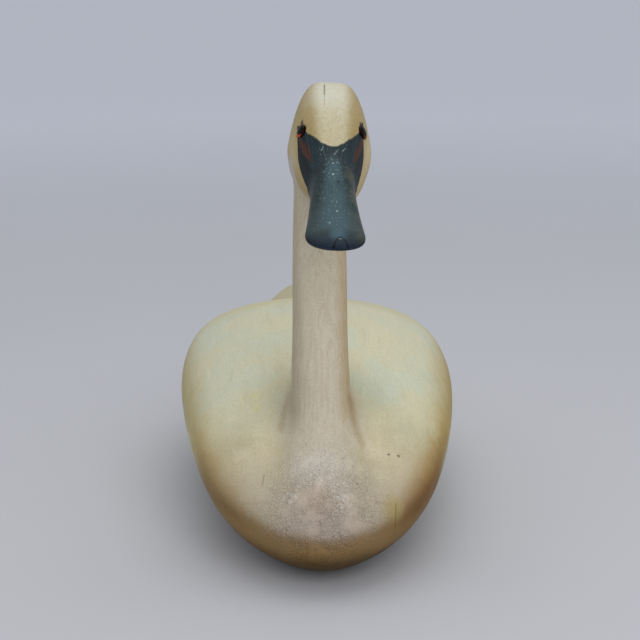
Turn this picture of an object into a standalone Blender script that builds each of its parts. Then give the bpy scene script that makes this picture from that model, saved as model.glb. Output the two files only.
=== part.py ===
"""A carved and painted swan decoy: one piece of wood with its head up, and two glass eyes.

The swan faces -Y, +X is its own left side, and it rests on the flat of its underside at Z = 0.
Everything is in metres. The origin is the middle of its length and width, on the surface it rests on.
"""

import math

import bpy
import numpy as np
from mathutils import Vector

# Driving sizes of the whole bird
LENGTH = 0.650
BODY_LENGTH = 0.600
BODY_WIDTH = 0.268
BACK_HEIGHT = 0.183
NECK_WIDTH = 0.047
HEAD_WIDTH = 0.0698
EYE_DIAMETER = 0.0114
EYE_PROUD = 0.0022
EYE_DEPTH = 0.0035
GAP = 0.0003

# Hand carving is not quite even: what each stretch is off the body's middle line, to the swan's
# left, and how far the head is turned and tipped that way
NECK_ASIDE = -0.002
HEAD_ASIDE = 0.0054
TAIL_ASIDE = -0.003
HEAD_TURN = math.radians(1.6)
HEAD_TIP = math.radians(2.5)

# How many points go round the bird and an eye, and how many rings each stretch has
ROUND = 56
BELLY_RINGS = 11
BACK_RINGS = 17
NECK_RINGS = 8
HEAD_RINGS = 37
TIP_RINGS = 6
EYE_ROUND = 24
EYE_RINGS = 5

TAIL_Y = LENGTH / 2
BREAST_Y = TAIL_Y - BODY_LENGTH
TAIL_BEND_Y = 0.10

# The body's points are spread by the run of its outline, and this share by the angle round it,
# which crowds them at both ends. The rings over the back crowd to the neck by a power.
END_CROWDING = 0.4
NECK_CROWDING = 1.3

# Lines of the body at fractions of its length from the breast: half width as a share of the
# whole half width, and heights as shares of the back's height
BODY_AT = (0.0, 0.05, 0.12, 0.22, 0.34, 0.45, 0.60, 0.75, 0.88, 0.96, 1.0)
BODY_HALF_WIDTH = (0.0, 0.455, 0.70, 0.86, 0.955, 1.0, 0.985, 0.83, 0.45, 0.235, 0.0)
BODY_TOP = (0.285, 0.53, 0.695, 0.845, 0.955, 0.99, 0.953, 0.857, 0.742, 0.785, 0.76)
BODY_RIM = (0.285, 0.325, 0.39, 0.49, 0.555, 0.595, 0.635, 0.66, 0.685, 0.74, 0.76)
BODY_BOTTOM = (0.285, 0.07, 0.0, -0.03, -0.03, -0.03, -0.02, 0.11, 0.39, 0.60, 0.76)
BACK_FULLNESS = 2.0
BELLY_FULLNESS = 1.85

# The flat underside spreads from this share of the body's length
BASE_MIDDLE_AT = 0.42

# The shallow hollow that is carved into the body round the neck's foot
HOLLOW_DEPTH = 0.012
HOLLOW_REACH = 0.050

# The neck's oval at heights: middle, measured back from the breast, half width as a share of the
# neck's half width, and half depth
NECK_AT = (0.10, 0.15, 0.20, 0.25, 0.30)
NECK_MIDDLE = (0.076, 0.077, 0.079, 0.087, 0.100)
NECK_HALF_WIDTH = (1.18, 1.09, 1.01, 1.00, 0.965)
NECK_HALF_DEPTH = (0.036, 0.033, 0.0300, 0.0285, 0.0270)

# The hollow sweep from the neck's foot out to the body: how wide and how high, at three sides
SWEEP_WIDE = {"front": 0.046, "side": 0.022, "back": 0.070}
SWEEP_HIGH = {"front": 0.066, "side": 0.030, "back": 0.050}

# The head and bill as rings, each through a point of the upper line and one of the under line.
# Each point is (back from the breast, height). Then the ring's half width as a share of the
# head's, how far up it is widest, its fullness above and below that, and how much its sides
# lean in towards the top.
HEAD_STATIONS = (
    # upper y, upper z, under y, under z, half width, widest at, fullness up, down, lean
    (0.127, 0.300, 0.073, 0.300, 0.65, 0.50, 2.0, 2.0, 0.00),
    (0.134, 0.345, 0.078, 0.324, 0.675, 0.50, 2.1, 2.0, 0.05),
    (0.137, 0.385, 0.072, 0.3265, 0.88, 0.47, 2.4, 2.1, 0.18),
    (0.121, 0.411, 0.064, 0.3275, 0.98, 0.43, 3.2, 2.1, 0.31),
    (0.098, 0.4210, 0.057, 0.3280, 1.00, 0.42, 4.4, 2.1, 0.36),
    (0.068, 0.4050, 0.049, 0.3275, 0.90, 0.43, 3.6, 2.2, 0.335),
    (0.037, 0.3765, 0.0385, 0.3265, 0.735, 0.44, 2.6, 2.3, 0.24),
    (0.0235, 0.3665, 0.026, 0.3258, 0.585, 0.46, 2.3, 2.3, 0.14),
    (0.0125, 0.3578, 0.0150, 0.3245, 0.520, 0.47, 2.2, 2.4, 0.06),
    (-0.012, 0.3390, -0.010, 0.3155, 0.580, 0.46, 2.2, 2.4, 0.00),
    (-0.033, 0.3235, -0.032, 0.3080, 0.675, 0.44, 2.2, 2.4, 0.00),
)
LEAN_POWER = 1.2

# The bill's end: its foremost point, how square it is seen from above, and how thin it gets
BILL_TIP = (-0.050, 0.3085)
TIP_SQUARENESS = 2.4
TIP_THINNING = 0.5
TIP_ROUNDING = 0.6

# The point that the head turns about, and the station by which it is fully turned
HEAD_MIDDLE = (0.098, 0.370)
HEAD_SET_BY = 3.0

# Where each eye sits: its place along HEAD_STATIONS, its angle round the ring, and how far it is
# set to look aside from where the skin faces
EYE_AT = {"left": (4.97, math.radians(118), 0.15), "right": (5.06, math.radians(240.6), 0.35)}


def clear_scene():
    """Removes the objects that the scene starts with."""
    for existing in list(bpy.data.objects):
        bpy.data.objects.remove(existing, do_unlink=True)


def spline(knots, values, at, level_ends=False):
    """Values at the given places on the smooth cubic curve through the knots.

    Its ends are free to slope, or they run level, as a line does that crosses the middle of the body.
    """
    knots = np.asarray(knots, float)
    values = np.asarray(values, float)
    at = np.clip(np.asarray(at, float), knots[0], knots[-1])
    step = np.diff(knots)
    slope = np.diff(values, axis=0) / step.reshape(-1, *[1] * (values.ndim - 1))
    count = len(knots)
    matrix = np.eye(count)
    right = np.zeros_like(values)
    for i in range(1, count - 1):
        matrix[i, i - 1 : i + 2] = step[i - 1], 2 * (step[i - 1] + step[i]), step[i]
        right[i] = 6 * (slope[i] - slope[i - 1])
    if level_ends:
        matrix[0, :2] = 2 * step[0], step[0]
        matrix[-1, -2:] = step[-1], 2 * step[-1]
        right[0], right[-1] = 6 * slope[0], -6 * slope[-1]
    bend = np.linalg.solve(matrix, right.reshape(count, -1)).reshape(values.shape)
    i = np.clip(np.searchsorted(knots, at, side="right") - 1, 0, count - 2)
    extra = [1] * (values.ndim - 1)
    before = (at - knots[i]).reshape(*at.shape, *extra)
    after = (knots[i + 1] - at).reshape(*at.shape, *extra)
    width = step[i].reshape(*at.shape, *extra)
    cubic = (bend[i] * after**3 + bend[i + 1] * before**3) / (6 * width)
    line = (values[i] / width - bend[i] * width / 6) * after
    return cubic + line + (values[i + 1] / width - bend[i + 1] * width / 6) * before


def swing(share):
    """A share of the body's length as the angle whose even steps round off both ends."""
    return np.arccos(np.clip(1 - 2 * np.asarray(share, float), -1, 1))


def body_lines(y):
    """Half width, top, widest level and bottom of the body's section at y."""
    at = swing((np.asarray(y, float) - BREAST_Y) / BODY_LENGTH)
    knots = swing(BODY_AT)
    half = spline(knots, BODY_HALF_WIDTH, at) * BODY_WIDTH / 2
    top = spline(knots, BODY_TOP, at) * BACK_HEIGHT
    rim = spline(knots, BODY_RIM, at, level_ends=True) * BACK_HEIGHT
    bottom = spline(knots, BODY_BOTTOM, at) * BACK_HEIGHT
    return np.maximum(half, 1e-6), top, rim, bottom


def body_height(x, y, upper):
    """Height of the body's upper or lower skin over the plan point x, y."""
    half, top, rim, bottom = body_lines(y)
    out = np.clip(np.abs(x) / half, 0, 1)
    if not upper:
        return rim + (bottom - rim) * (1 - out**BELLY_FULLNESS) ** (1 / BELLY_FULLNESS)
    away = np.hypot(x, y - BREAST_Y - NECK_MIDDLE[0]) / HOLLOW_REACH
    arch = (1 - out**BACK_FULLNESS) ** (1 / BACK_FULLNESS)
    return rim + (top - rim - HOLLOW_DEPTH * np.exp(-(away**2))) * arch


def rim_points(count):
    """Plan points round the body's widest line from the breast, crowded a little to its ends."""
    fine = np.linspace(0, math.pi, 2001)
    y = BREAST_Y + BODY_LENGTH * (1 - np.cos(fine)) / 2
    x = body_lines(y)[0]
    x[[0, -1]] = 0
    run = np.concatenate([[0], np.cumsum(np.hypot(np.diff(x), np.diff(y)))])
    measure = (1 - END_CROWDING) * run / run[-1] + END_CROWDING * fine / math.pi
    half = np.interp(np.linspace(0, 1, count // 2 + 1), measure, fine)
    y = BREAST_Y + BODY_LENGTH * (1 - np.cos(half)) / 2
    x = body_lines(y)[0]
    x[[0, -1]] = 0
    left = np.column_stack([x, y])
    return np.concatenate([left, left[-2:0:-1] * (-1, 1)])


def turns(count):
    """Even angles round a ring: 0 at the front or under side, a quarter turn at +X."""
    return np.arange(count) * 2 * math.pi / count


def neck_oval(height, angle):
    """Plan points of the neck at the given heights."""
    sizes = np.column_stack([NECK_MIDDLE, NECK_HALF_WIDTH, NECK_HALF_DEPTH])
    middle, half, depth = np.moveaxis(spline(NECK_AT, sizes, height), -1, 0)
    x = half * NECK_WIDTH / 2 * np.sin(angle)
    return np.column_stack([x, BREAST_Y + middle - depth * np.cos(angle)])


def by_side(sizes, ahead):
    """A size between its front, side and back values: ahead is 1 in front and -1 behind."""
    return (
        sizes["side"]
        + (sizes["front"] - sizes["side"]) * np.clip(ahead, 0, 1) ** 2
        + (sizes["back"] - sizes["side"]) * np.clip(-ahead, 0, 1) ** 2
    )


def sweep_rise(x, y):
    """How far the sweep at the neck's foot stands above the body over plan points outside it."""
    half, depth = NECK_HALF_WIDTH[1] * NECK_WIDTH / 2, NECK_HALF_DEPTH[1]
    back = y - BREAST_Y - NECK_MIDDLE[1]
    away = np.hypot(x, back)
    off = away - away / np.maximum(np.hypot(x / half, back / depth), 1)
    ahead = -back / away
    closer = np.clip(1 - off / by_side(SWEEP_WIDE, ahead), 0, 1)
    return by_side(SWEEP_HIGH, ahead) * (1 - np.sqrt(1 - closer**2))


def belly_rings(rim, count):
    """Rings from the edge of the flat underside up to the widest line."""
    base_middle = np.array([0.0, BREAST_Y + BASE_MIDDLE_AT * BODY_LENGTH])
    inward = np.linspace(0, 1, 400)
    paths = rim[:, None] + (base_middle - rim)[:, None] * inward[:, None]
    heights = body_height(paths[..., 0], paths[..., 1], upper=False)
    edge = np.array([inward[np.argmax(row <= 0)] for row in heights])
    rings = []
    for share in np.linspace(1, 0, count, endpoint=False):
        way = edge * (1 - math.cos(share * math.pi / 2))
        plan = rim + (base_middle - rim) * way[:, None]
        height = body_height(plan[:, 0], plan[:, 1], upper=False)
        if share == 1:
            height = np.zeros(len(rim))
        rings.append(np.column_stack([plan, np.maximum(height, 0)]))
    return rings


def back_rings(rim, angle, count):
    """Rings from the widest line in over the back and up the sweep to the neck's flank."""
    foot = neck_oval(np.full(len(angle), NECK_AT[1]), angle)
    rings = []
    for share in np.linspace(0, 1, count):
        way = ((1 + math.cos(share * math.pi)) / 2) ** NECK_CROWDING
        x, y = (foot + (rim - foot) * way).T
        rings.append(np.column_stack([x, y, body_height(x, y, upper=True) + sweep_rise(x, y)]))
    return rings


def neck_rings(foot, angle, count):
    """Rings up the neck from its foot to the height where the head's rings take over."""
    rings = []
    for share in np.linspace(0, 1, count + 1, endpoint=False)[1:]:
        height = foot[:, 2] + (NECK_AT[-1] - foot[:, 2]) * share
        plan = neck_oval(height, angle)
        plan += (foot[:, :2] - plan) * (1 - share) ** 4
        rings.append(np.column_stack([plan, height]))
    return rings


def head_ring(values, angle):
    """One ring of the head or bill from a row of HEAD_STATIONS."""
    up_y, up_z, low_y, low_z, half, widest, full_up, full_low, lean = values
    along = -np.cos(angle)
    across = np.sin(angle)
    full = np.where(along > 0, full_up, full_low)
    reach = (np.abs(along) ** full + np.abs(across) ** full) ** (-1 / full)
    rise = along * reach
    x = half * HEAD_WIDTH / 2 * across * reach * (1 - lean * np.clip(rise, 0, 1) ** LEAN_POWER)
    share = np.where(rise > 0, widest + rise * (1 - widest), widest + rise * widest)
    y = BREAST_Y + low_y + (up_y - low_y) * share
    z = low_z + (up_z - low_z) * share
    return np.column_stack([x, y, z])


def head_skin(station, angle):
    """Points of the head at a place between the rows of HEAD_STATIONS."""
    rows = np.array(HEAD_STATIONS)
    return head_ring(spline(np.arange(len(rows)), rows, station), angle)


def tip_rings(angle, count):
    """The rounded end of the bill, closing to a point."""
    last = np.array(HEAD_STATIONS[-1])
    upper, under, tip = last[0:2], last[2:4], np.array(BILL_TIP)
    rings = []
    for share in np.linspace(0, 1, count + 1, endpoint=False)[1:]:
        forward = math.sin(share * math.pi / 2)
        closing = (1 - forward**TIP_SQUARENESS) ** (1 / TIP_SQUARENESS)
        middle = (upper + under) / 2 * (1 - forward) + tip * forward
        thick = (upper - under) / 2 * (1 - TIP_THINNING * forward) * closing**TIP_ROUNDING
        row = last.copy()
        row[0:2], row[2:4] = middle + thick, middle - thick
        row[4] *= closing
        rings.append(head_ring(row, angle))
    return rings


def ease(share):
    """A smooth step from 0 to 1."""
    share = np.clip(share, 0, 1)
    return share * share * (3 - 2 * share)


def set_aside(points, head_share):
    """Shifts the tail, neck and head off the middle line, and turns and tips the head."""
    x, y, z = np.array(points).T
    turn, tip = HEAD_TURN * head_share, HEAD_TIP * head_share
    back, up = y - BREAST_Y - HEAD_MIDDLE[0], z - HEAD_MIDDLE[1]
    x, back = x * np.cos(turn) - back * np.sin(turn), x * np.sin(turn) + back * np.cos(turn)
    x, up = x * np.cos(tip) + up * np.sin(tip), up * np.cos(tip) - x * np.sin(tip)
    x += NECK_ASIDE * ease((z - NECK_AT[0]) / (NECK_AT[2] - NECK_AT[0]))
    x += (HEAD_ASIDE - NECK_ASIDE) * head_share
    x += TAIL_ASIDE * np.clip((y - TAIL_BEND_Y) / (TAIL_Y - TAIL_BEND_Y), 0, 1) ** 2
    return np.column_stack([x, back + BREAST_Y + HEAD_MIDDLE[0], up + HEAD_MIDDLE[1]])


def bird_rings(round_count, belly, back, neck, head, tip):
    """All rings of the bird, from the underside to the bill, and the point that closes the bill."""
    angle = turns(round_count)
    rim = rim_points(round_count)
    rings = belly_rings(rim, belly) + back_rings(rim, angle, back)
    rings += neck_rings(rings[-1], angle, neck)
    shares = [0.0] * len(rings)
    for station in np.linspace(0, len(HEAD_STATIONS) - 1, head):
        rings.append(head_skin(station, angle))
        shares.append(float(ease(station / HEAD_SET_BY)))
    rings += tip_rings(angle, tip) + [np.array([[0.0, BREAST_Y + BILL_TIP[0], BILL_TIP[1]]])]
    shares += [1.0] * (len(rings) - len(shares))
    rings = [set_aside(ring, share) for ring, share in zip(rings, shares)]
    return rings[:-1], rings[-1][0]


def mesh_of(name, rings, last_point):
    """A closed mesh over rings of points: one flat face closes the first, the last runs to a point."""
    count = len(rings[0])
    points = np.concatenate([*rings, [last_point]])
    faces = [tuple(range(count))[::-1]]
    for ring in range(len(rings) - 1):
        for i in range(count):
            j = (i + 1) % count
            low, high = ring * count, (ring + 1) * count
            corners = (low + i, low + j, high + j, high + i)
            faces.append(corners if i < count // 2 else corners[1:] + corners[:1])
    last = (len(rings) - 1) * count
    faces += [(last + i, last + (i + 1) % count, len(points) - 1) for i in range(count)]
    mesh = bpy.data.meshes.new(name)
    mesh.from_pydata(points.tolist(), [], faces)
    mesh.shade_smooth()
    mesh.polygons[0].use_smooth = False
    return mesh


def turned(name, profile, place, way):
    """A round object at a place on the head, turned from a profile of (radius, distance out)."""
    angle = turns(EYE_ROUND)
    circle = np.column_stack([np.cos(angle), np.sin(angle), np.zeros(EYE_ROUND)])
    rings = [circle * radius + (0, 0, out) for radius, out in profile[:-1]]
    made = bpy.data.objects.new(name, mesh_of(name, rings, np.array([0, 0, profile[-1][1]])))
    made.location = place
    made.rotation_euler = Vector(way).to_track_quat("Z", "Y").to_euler()
    bpy.context.scene.collection.objects.link(made)
    return made


def eye_place(station, angle, aside):
    """The point of the head's skin under an eye's middle, and the way that the eye looks."""

    def skin(station_off, angle_off):
        point = head_skin(station + station_off, np.array([angle + angle_off]))
        return set_aside(point, 1.0)[0]

    around = skin(0, 0.15) - skin(0, -0.15)
    ahead = skin(0.3, 0) - skin(-0.3, 0)
    way = np.cross(around, ahead)
    way /= np.linalg.norm(way)
    way[0] += aside * np.sign(way[0])
    return skin(0, 0), way / np.linalg.norm(way)


def dome_profile():
    """Half the outline of a glass eye, from the middle of its back to the top of its dome."""
    radius = EYE_DIAMETER / 2
    turn = np.linspace(0, math.pi / 2, EYE_RINGS + 1)
    dome = [(radius * math.cos(t), EYE_PROUD * math.sin(t)) for t in turn[:-1]]
    return [(radius * 0.7, -EYE_DEPTH), (radius, -EYE_DEPTH * 0.6), *dome, (0, EYE_PROUD)]


def socket_profile():
    """Half the outline of the hole that an eye sits in, run on well clear of the head."""
    radius = EYE_DIAMETER / 2 + GAP
    bottom = -EYE_DEPTH - GAP
    return [(radius, bottom), (radius, EYE_DIAMETER), (0, EYE_DIAMETER)]


def paint(name, colour, roughness):
    """A plain painted or glass finish."""
    material = bpy.data.materials.new(name)
    material.use_nodes = True
    shader = material.node_tree.nodes["Principled BSDF"]
    shader.inputs["Base Color"].default_value = (*colour, 1)
    shader.inputs["Roughness"].default_value = roughness
    return material


def carve_swan():
    """The body, neck, head and bill, carved as one piece."""
    rings, tip_point = bird_rings(
        ROUND, BELLY_RINGS, BACK_RINGS, NECK_RINGS, HEAD_RINGS, TIP_RINGS
    )
    swan = bpy.data.objects.new("carved_swan", mesh_of("carved_swan", rings, tip_point))
    swan.data.materials.append(paint("cream_paint", (0.62, 0.56, 0.42), 0.55))
    bpy.context.scene.collection.objects.link(swan)
    return swan


def set_eye(side, swan, glass):
    """A glass eye, in a socket that is cut into the head."""
    place, way = eye_place(*EYE_AT[side])
    eye = turned(f"eye_{side}", dome_profile(), place, way)
    eye.data.materials.append(glass)
    cutter = turned(f"socket_cutter_{side}", socket_profile(), place, way)
    cutter.hide_render = True
    cutter.display_type = "WIRE"
    socket = swan.modifiers.new(f"socket_{side}", "BOOLEAN")
    socket.operation = "DIFFERENCE"
    socket.object = cutter


clear_scene()
carved_swan = carve_swan()
eye_glass = paint("eye_glass", (0.05, 0.02, 0.01), 0.05)
for eye_side in EYE_AT:
    set_eye(eye_side, carved_swan, eye_glass)
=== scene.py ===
# %% [markdown]
# # A carved and painted swan decoy
#
# The real object is one block of light wood, carved to a resting swan with its neck up, painted
# cream with a slate bill, and given two glass eyes. Paint of that age carries most of its looks:
# brown hand grime at the edges, a crackled breast, and worn brush strokes on the bill.
#
# The packed CAD model gives the true size and place of every part. This lesson dresses it: a finer
# skin over the same rules, eyes of clear glass, and paint that is mixed from nodes.

# %% Load the frame
import math

import bpy
import numpy as np
from mathutils import Matrix, Vector


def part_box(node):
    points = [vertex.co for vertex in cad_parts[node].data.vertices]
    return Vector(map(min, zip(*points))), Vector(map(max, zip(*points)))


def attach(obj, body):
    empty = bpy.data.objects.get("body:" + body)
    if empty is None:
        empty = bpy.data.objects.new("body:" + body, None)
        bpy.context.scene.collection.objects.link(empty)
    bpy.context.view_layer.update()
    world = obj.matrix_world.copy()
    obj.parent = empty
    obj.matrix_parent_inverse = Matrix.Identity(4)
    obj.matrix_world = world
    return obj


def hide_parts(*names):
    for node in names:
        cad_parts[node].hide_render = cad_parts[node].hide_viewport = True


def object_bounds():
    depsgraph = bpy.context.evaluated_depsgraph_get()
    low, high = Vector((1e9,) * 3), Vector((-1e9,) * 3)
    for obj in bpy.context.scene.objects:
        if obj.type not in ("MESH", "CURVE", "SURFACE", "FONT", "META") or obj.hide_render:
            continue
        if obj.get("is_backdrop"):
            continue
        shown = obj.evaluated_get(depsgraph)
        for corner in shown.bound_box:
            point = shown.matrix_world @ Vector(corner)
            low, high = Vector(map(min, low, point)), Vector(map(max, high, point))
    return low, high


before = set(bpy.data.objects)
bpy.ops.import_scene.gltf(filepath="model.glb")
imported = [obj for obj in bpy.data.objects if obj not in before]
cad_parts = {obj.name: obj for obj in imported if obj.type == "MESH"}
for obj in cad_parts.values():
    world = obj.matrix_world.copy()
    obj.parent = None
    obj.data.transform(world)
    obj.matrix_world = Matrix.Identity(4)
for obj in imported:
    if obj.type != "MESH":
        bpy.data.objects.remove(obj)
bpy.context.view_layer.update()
MM = 0.001
print("CAD nodes:", sorted(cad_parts))

# %% [markdown]
# ## The camera
#
# The picture looks down on the swan from in front, from a little under a metre and a half away. A
# longer lens from there keeps the head from looming over the body. The swan stands turned by a
# degree or two, so here the camera stands that much to the side instead, and the object stays
# square to the frame.

# %% Set the camera
PICTURE_PIXELS = 640
LENS_MM = 85
CAMERA_AWAY = 1.449
CAMERA_HIGH = 0.526
CAMERA_ASIDE = 0.005
LOOK_DOWN = math.radians(13.65)
LOOK_ROUND = math.radians(1.66)
MIDDLE_SHIFT_PIXELS = -1.5

camera_data = bpy.data.cameras.new("camera")
camera_data.lens = LENS_MM
camera_data.shift_x = MIDDLE_SHIFT_PIXELS / PICTURE_PIXELS
camera = bpy.data.objects.new("camera", camera_data)
aside = Matrix.Rotation(-LOOK_ROUND, 3, "Z")
camera.location = aside @ Vector((CAMERA_ASIDE, -CAMERA_AWAY, CAMERA_HIGH))
camera.rotation_euler = (math.pi / 2 - LOOK_DOWN, 0, -LOOK_ROUND)
bpy.context.scene.collection.objects.link(camera)
bpy.context.scene.camera = camera
print("camera at, m:", [round(place, 3) for place in camera.location])

# %% [markdown]
# ## The light
#
# Old paint shows best under a wide, soft light, because a small lamp would draw hard glints over
# the worn patches. A broad lamp overhead, a little to the left, models the crown and the back. A
# second one, further off in front, keeps the breast from going dark, and an even sky fills the rest. The front
# lamp is kept out of reflections, because glass eyes would mirror it as a big pale window.


# %% Hang the lamps
def hang_lamp(name, place, target, width, power, colour):
    """A square soft lamp at a place, facing a target."""
    lamp_data = bpy.data.lights.new(name, "AREA")
    lamp_data.size = width
    lamp_data.energy = power
    lamp_data.color = colour
    lamp = bpy.data.objects.new(name, lamp_data)
    lamp.location = place
    lamp.rotation_euler = (Vector(target) - Vector(place)).to_track_quat("-Z", "Y").to_euler()
    bpy.context.scene.collection.objects.link(lamp)
    return lamp


SWAN_MIDDLE = (0.0, -0.05, 0.15)
overhead = hang_lamp("overhead", (0.15, 0.1, 1.9), SWAN_MIDDLE, 1.6, 9.0, (1.0, 0.98, 0.95))
front = hang_lamp("front", (0.35, -2.0, 1.2), SWAN_MIDDLE, 1.5, 16.0, (1.0, 0.99, 0.97))
front.visible_glossy = False

SKY_COLOUR = (0.90, 0.93, 1.0, 1)
SKY_STRENGTH = 0.62
sky = bpy.data.worlds.new("sky")
sky.use_nodes = True
sky_light = sky.node_tree.nodes["Background"]
sky_light.inputs["Color"].default_value = SKY_COLOUR
sky_light.inputs["Strength"].default_value = SKY_STRENGTH
bpy.context.scene.world = sky
bpy.context.scene.view_settings.view_transform = "Standard"
print("lamps:", overhead.name, front.name)

# %% [markdown]
# ## A bench for nodes
#
# Paint, glass and Geometry Nodes all need the same three chores: add a node, give its inputs a
# value or a wire, and read one output. A small class does them, so that each finish below reads
# like a recipe: a tone, a place where it belongs, and a share of it.


# %% Set up the bench
class Bench:
    """Adds nodes to one tree and wires them up."""

    def __init__(self, tree):
        self.tree = tree

    def add(self, kind, inputs=(), **settings):
        """A new node with its settings, and its inputs as pairs of socket and value or wire."""
        node = self.tree.nodes.new(kind)
        for key, value in settings.items():
            setattr(node, key, value)
        for key, value in inputs:
            self.feed(node.inputs[key], value)
        return node

    def feed(self, socket, value):
        """Gives a socket a wire or a plain value."""
        if isinstance(value, bpy.types.NodeSocket):
            self.tree.links.new(value, socket)
        else:
            socket.default_value = value

    def math(self, operation, *values):
        """A Math node's result."""
        node = self.add("ShaderNodeMath", enumerate(values), operation=operation)
        return node.outputs[0]

    def vector(self, operation, *values, output=0):
        """A Vector Math node's result."""
        node = self.add("ShaderNodeVectorMath", enumerate(values), operation=operation)
        return node.outputs[output]

    def scaled(self, vector, length):
        """A vector made longer or shorter."""
        pairs = [("Vector", vector), ("Scale", length)]
        return self.add("ShaderNodeVectorMath", pairs, operation="SCALE").outputs[0]

    def step(self, value, start, stop):
        """A smooth step: 0 at start and before it, 1 at stop and beyond it."""
        pairs = [(0, value), (1, start), (2, stop)]
        node = self.add("ShaderNodeMapRange", pairs, interpolation_type="SMOOTHSTEP")
        return node.outputs[0]

    def product(self, *values):
        """All values multiplied."""
        result = values[0]
        for value in values[1:]:
            result = self.math("MULTIPLY", result, value)
        return result

    def noise(self, at, per_metre, detail=3.0, roughness=0.55, seed=0.0):
        """Soft noise, mostly between 0.3 and 0.7, with that many swells to the metre."""
        pairs = [
            ("Vector", at),
            ("W", seed),
            ("Scale", per_metre),
            ("Detail", detail),
            ("Roughness", roughness),
        ]
        return self.add("ShaderNodeTexNoise", pairs, noise_dimensions="4D").outputs[0]


print("bench ready:", [name for name in vars(Bench) if not name.startswith("_")])

# %% [markdown]
# ## The floor
#
# The swan stands on a plain pale floor that runs far enough back to fill the view. It grows a
# little paler with distance, which stands for the wall behind, and a trace of unevenness in its
# tone keeps it from looking like empty space.


# %% Lay the floor
def tone(red, green, blue):
    """A tone as a monitor shows it, 0 to 255, turned into the linear colour that shaders take."""
    shares = np.array([red, green, blue]) / 255
    linear = np.where(shares <= 0.04045, shares / 12.92, ((shares + 0.055) / 1.055) ** 2.4)
    return (*linear.tolist(), 1.0)


FLOOR_HALF = 30.0
FLOOR_NEAR = tone(192, 193, 196)
FLOOR_FAR = tone(226, 228, 236)
floor_mesh = bpy.data.meshes.new("floor")
floor_corners = [(-1, -1), (1, -1), (1, 1), (-1, 1)]
floor_points = [(x * FLOOR_HALF, y * FLOOR_HALF, 0) for x, y in floor_corners]
floor_mesh.from_pydata(floor_points, [], [range(4)])
floor = bpy.data.objects.new("floor", floor_mesh)
bpy.context.scene.collection.objects.link(floor)

floor_paint = bpy.data.materials.new("floor_paint")
floor_paint.use_nodes = True
floor_bench = Bench(floor_paint.node_tree)
floor_at = floor_bench.add("ShaderNodeTexCoord").outputs["Object"]
off_swan = floor_bench.vector("LENGTH", floor_at, output="Value")
floor_share = floor_bench.step(off_swan, 0.6, 4.0)
floor_share = floor_bench.math("MULTIPLY_ADD", floor_bench.noise(floor_at, 3.0), 0.1, floor_share)
floor_ramp = floor_bench.add("ShaderNodeMix", [(0, floor_share)], data_type="RGBA")
floor_bench.feed(floor_ramp.inputs[6], FLOOR_NEAR)
floor_bench.feed(floor_ramp.inputs[7], FLOOR_FAR)
floor_shader = floor_paint.node_tree.nodes["Principled BSDF"]
floor_bench.feed(floor_shader.inputs["Base Color"], floor_ramp.outputs[2])
floor_shader.inputs["Roughness"].default_value = 0.8
floor_mesh.materials.append(floor_paint)
floor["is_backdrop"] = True
print("floor half width, m:", FLOOR_HALF)

# %% [markdown]
# ## The rules of the carving
#
# The CAD solid has few faces, as its checks need. The skin that shows is made again from the same
# named sizes and the same rules, only with many more points, so it lies on the solid everywhere.
# These are the sizes: the whole bird, the body's lines from breast to tail, the neck's ovals and
# the rings of the head.

# %% Name the sizes
LENGTH = 0.650
BODY_LENGTH = 0.600
BODY_WIDTH = 0.268
BACK_HEIGHT = 0.183
NECK_WIDTH = 0.047
HEAD_WIDTH = 0.0698
TAIL_Y = LENGTH / 2
BREAST_Y = TAIL_Y - BODY_LENGTH
TAIL_BEND_Y = 0.10

# Lines of the body at fractions of its length: shares of its width and of the back's height
BODY_AT = (0.0, 0.05, 0.12, 0.22, 0.34, 0.45, 0.60, 0.75, 0.88, 0.96, 1.0)
BODY_HALF_WIDTH = (0.0, 0.455, 0.70, 0.86, 0.955, 1.0, 0.985, 0.83, 0.45, 0.235, 0.0)
BODY_TOP = (0.285, 0.53, 0.695, 0.845, 0.955, 0.99, 0.953, 0.857, 0.742, 0.785, 0.76)
BODY_RIM = (0.285, 0.325, 0.39, 0.49, 0.555, 0.595, 0.635, 0.66, 0.685, 0.74, 0.76)
BODY_BOTTOM = (0.285, 0.07, 0.0, -0.03, -0.03, -0.03, -0.02, 0.11, 0.39, 0.60, 0.76)
BACK_FULLNESS = 2.0
BELLY_FULLNESS = 1.85
BASE_MIDDLE_AT = 0.42
END_CROWDING = 0.4
NECK_CROWDING = 1.3
HOLLOW_DEPTH = 0.012
HOLLOW_REACH = 0.050

# The neck's oval at heights: middle back from the breast, share of its half width, half depth
NECK_AT = (0.10, 0.15, 0.20, 0.25, 0.30)
NECK_MIDDLE = (0.076, 0.077, 0.079, 0.087, 0.100)
NECK_HALF_WIDTH = (1.18, 1.09, 1.01, 1.00, 0.965)
NECK_HALF_DEPTH = (0.036, 0.033, 0.0300, 0.0285, 0.0270)
SWEEP_WIDE = {"front": 0.046, "side": 0.022, "back": 0.070}
SWEEP_HIGH = {"front": 0.066, "side": 0.030, "back": 0.050}

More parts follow.
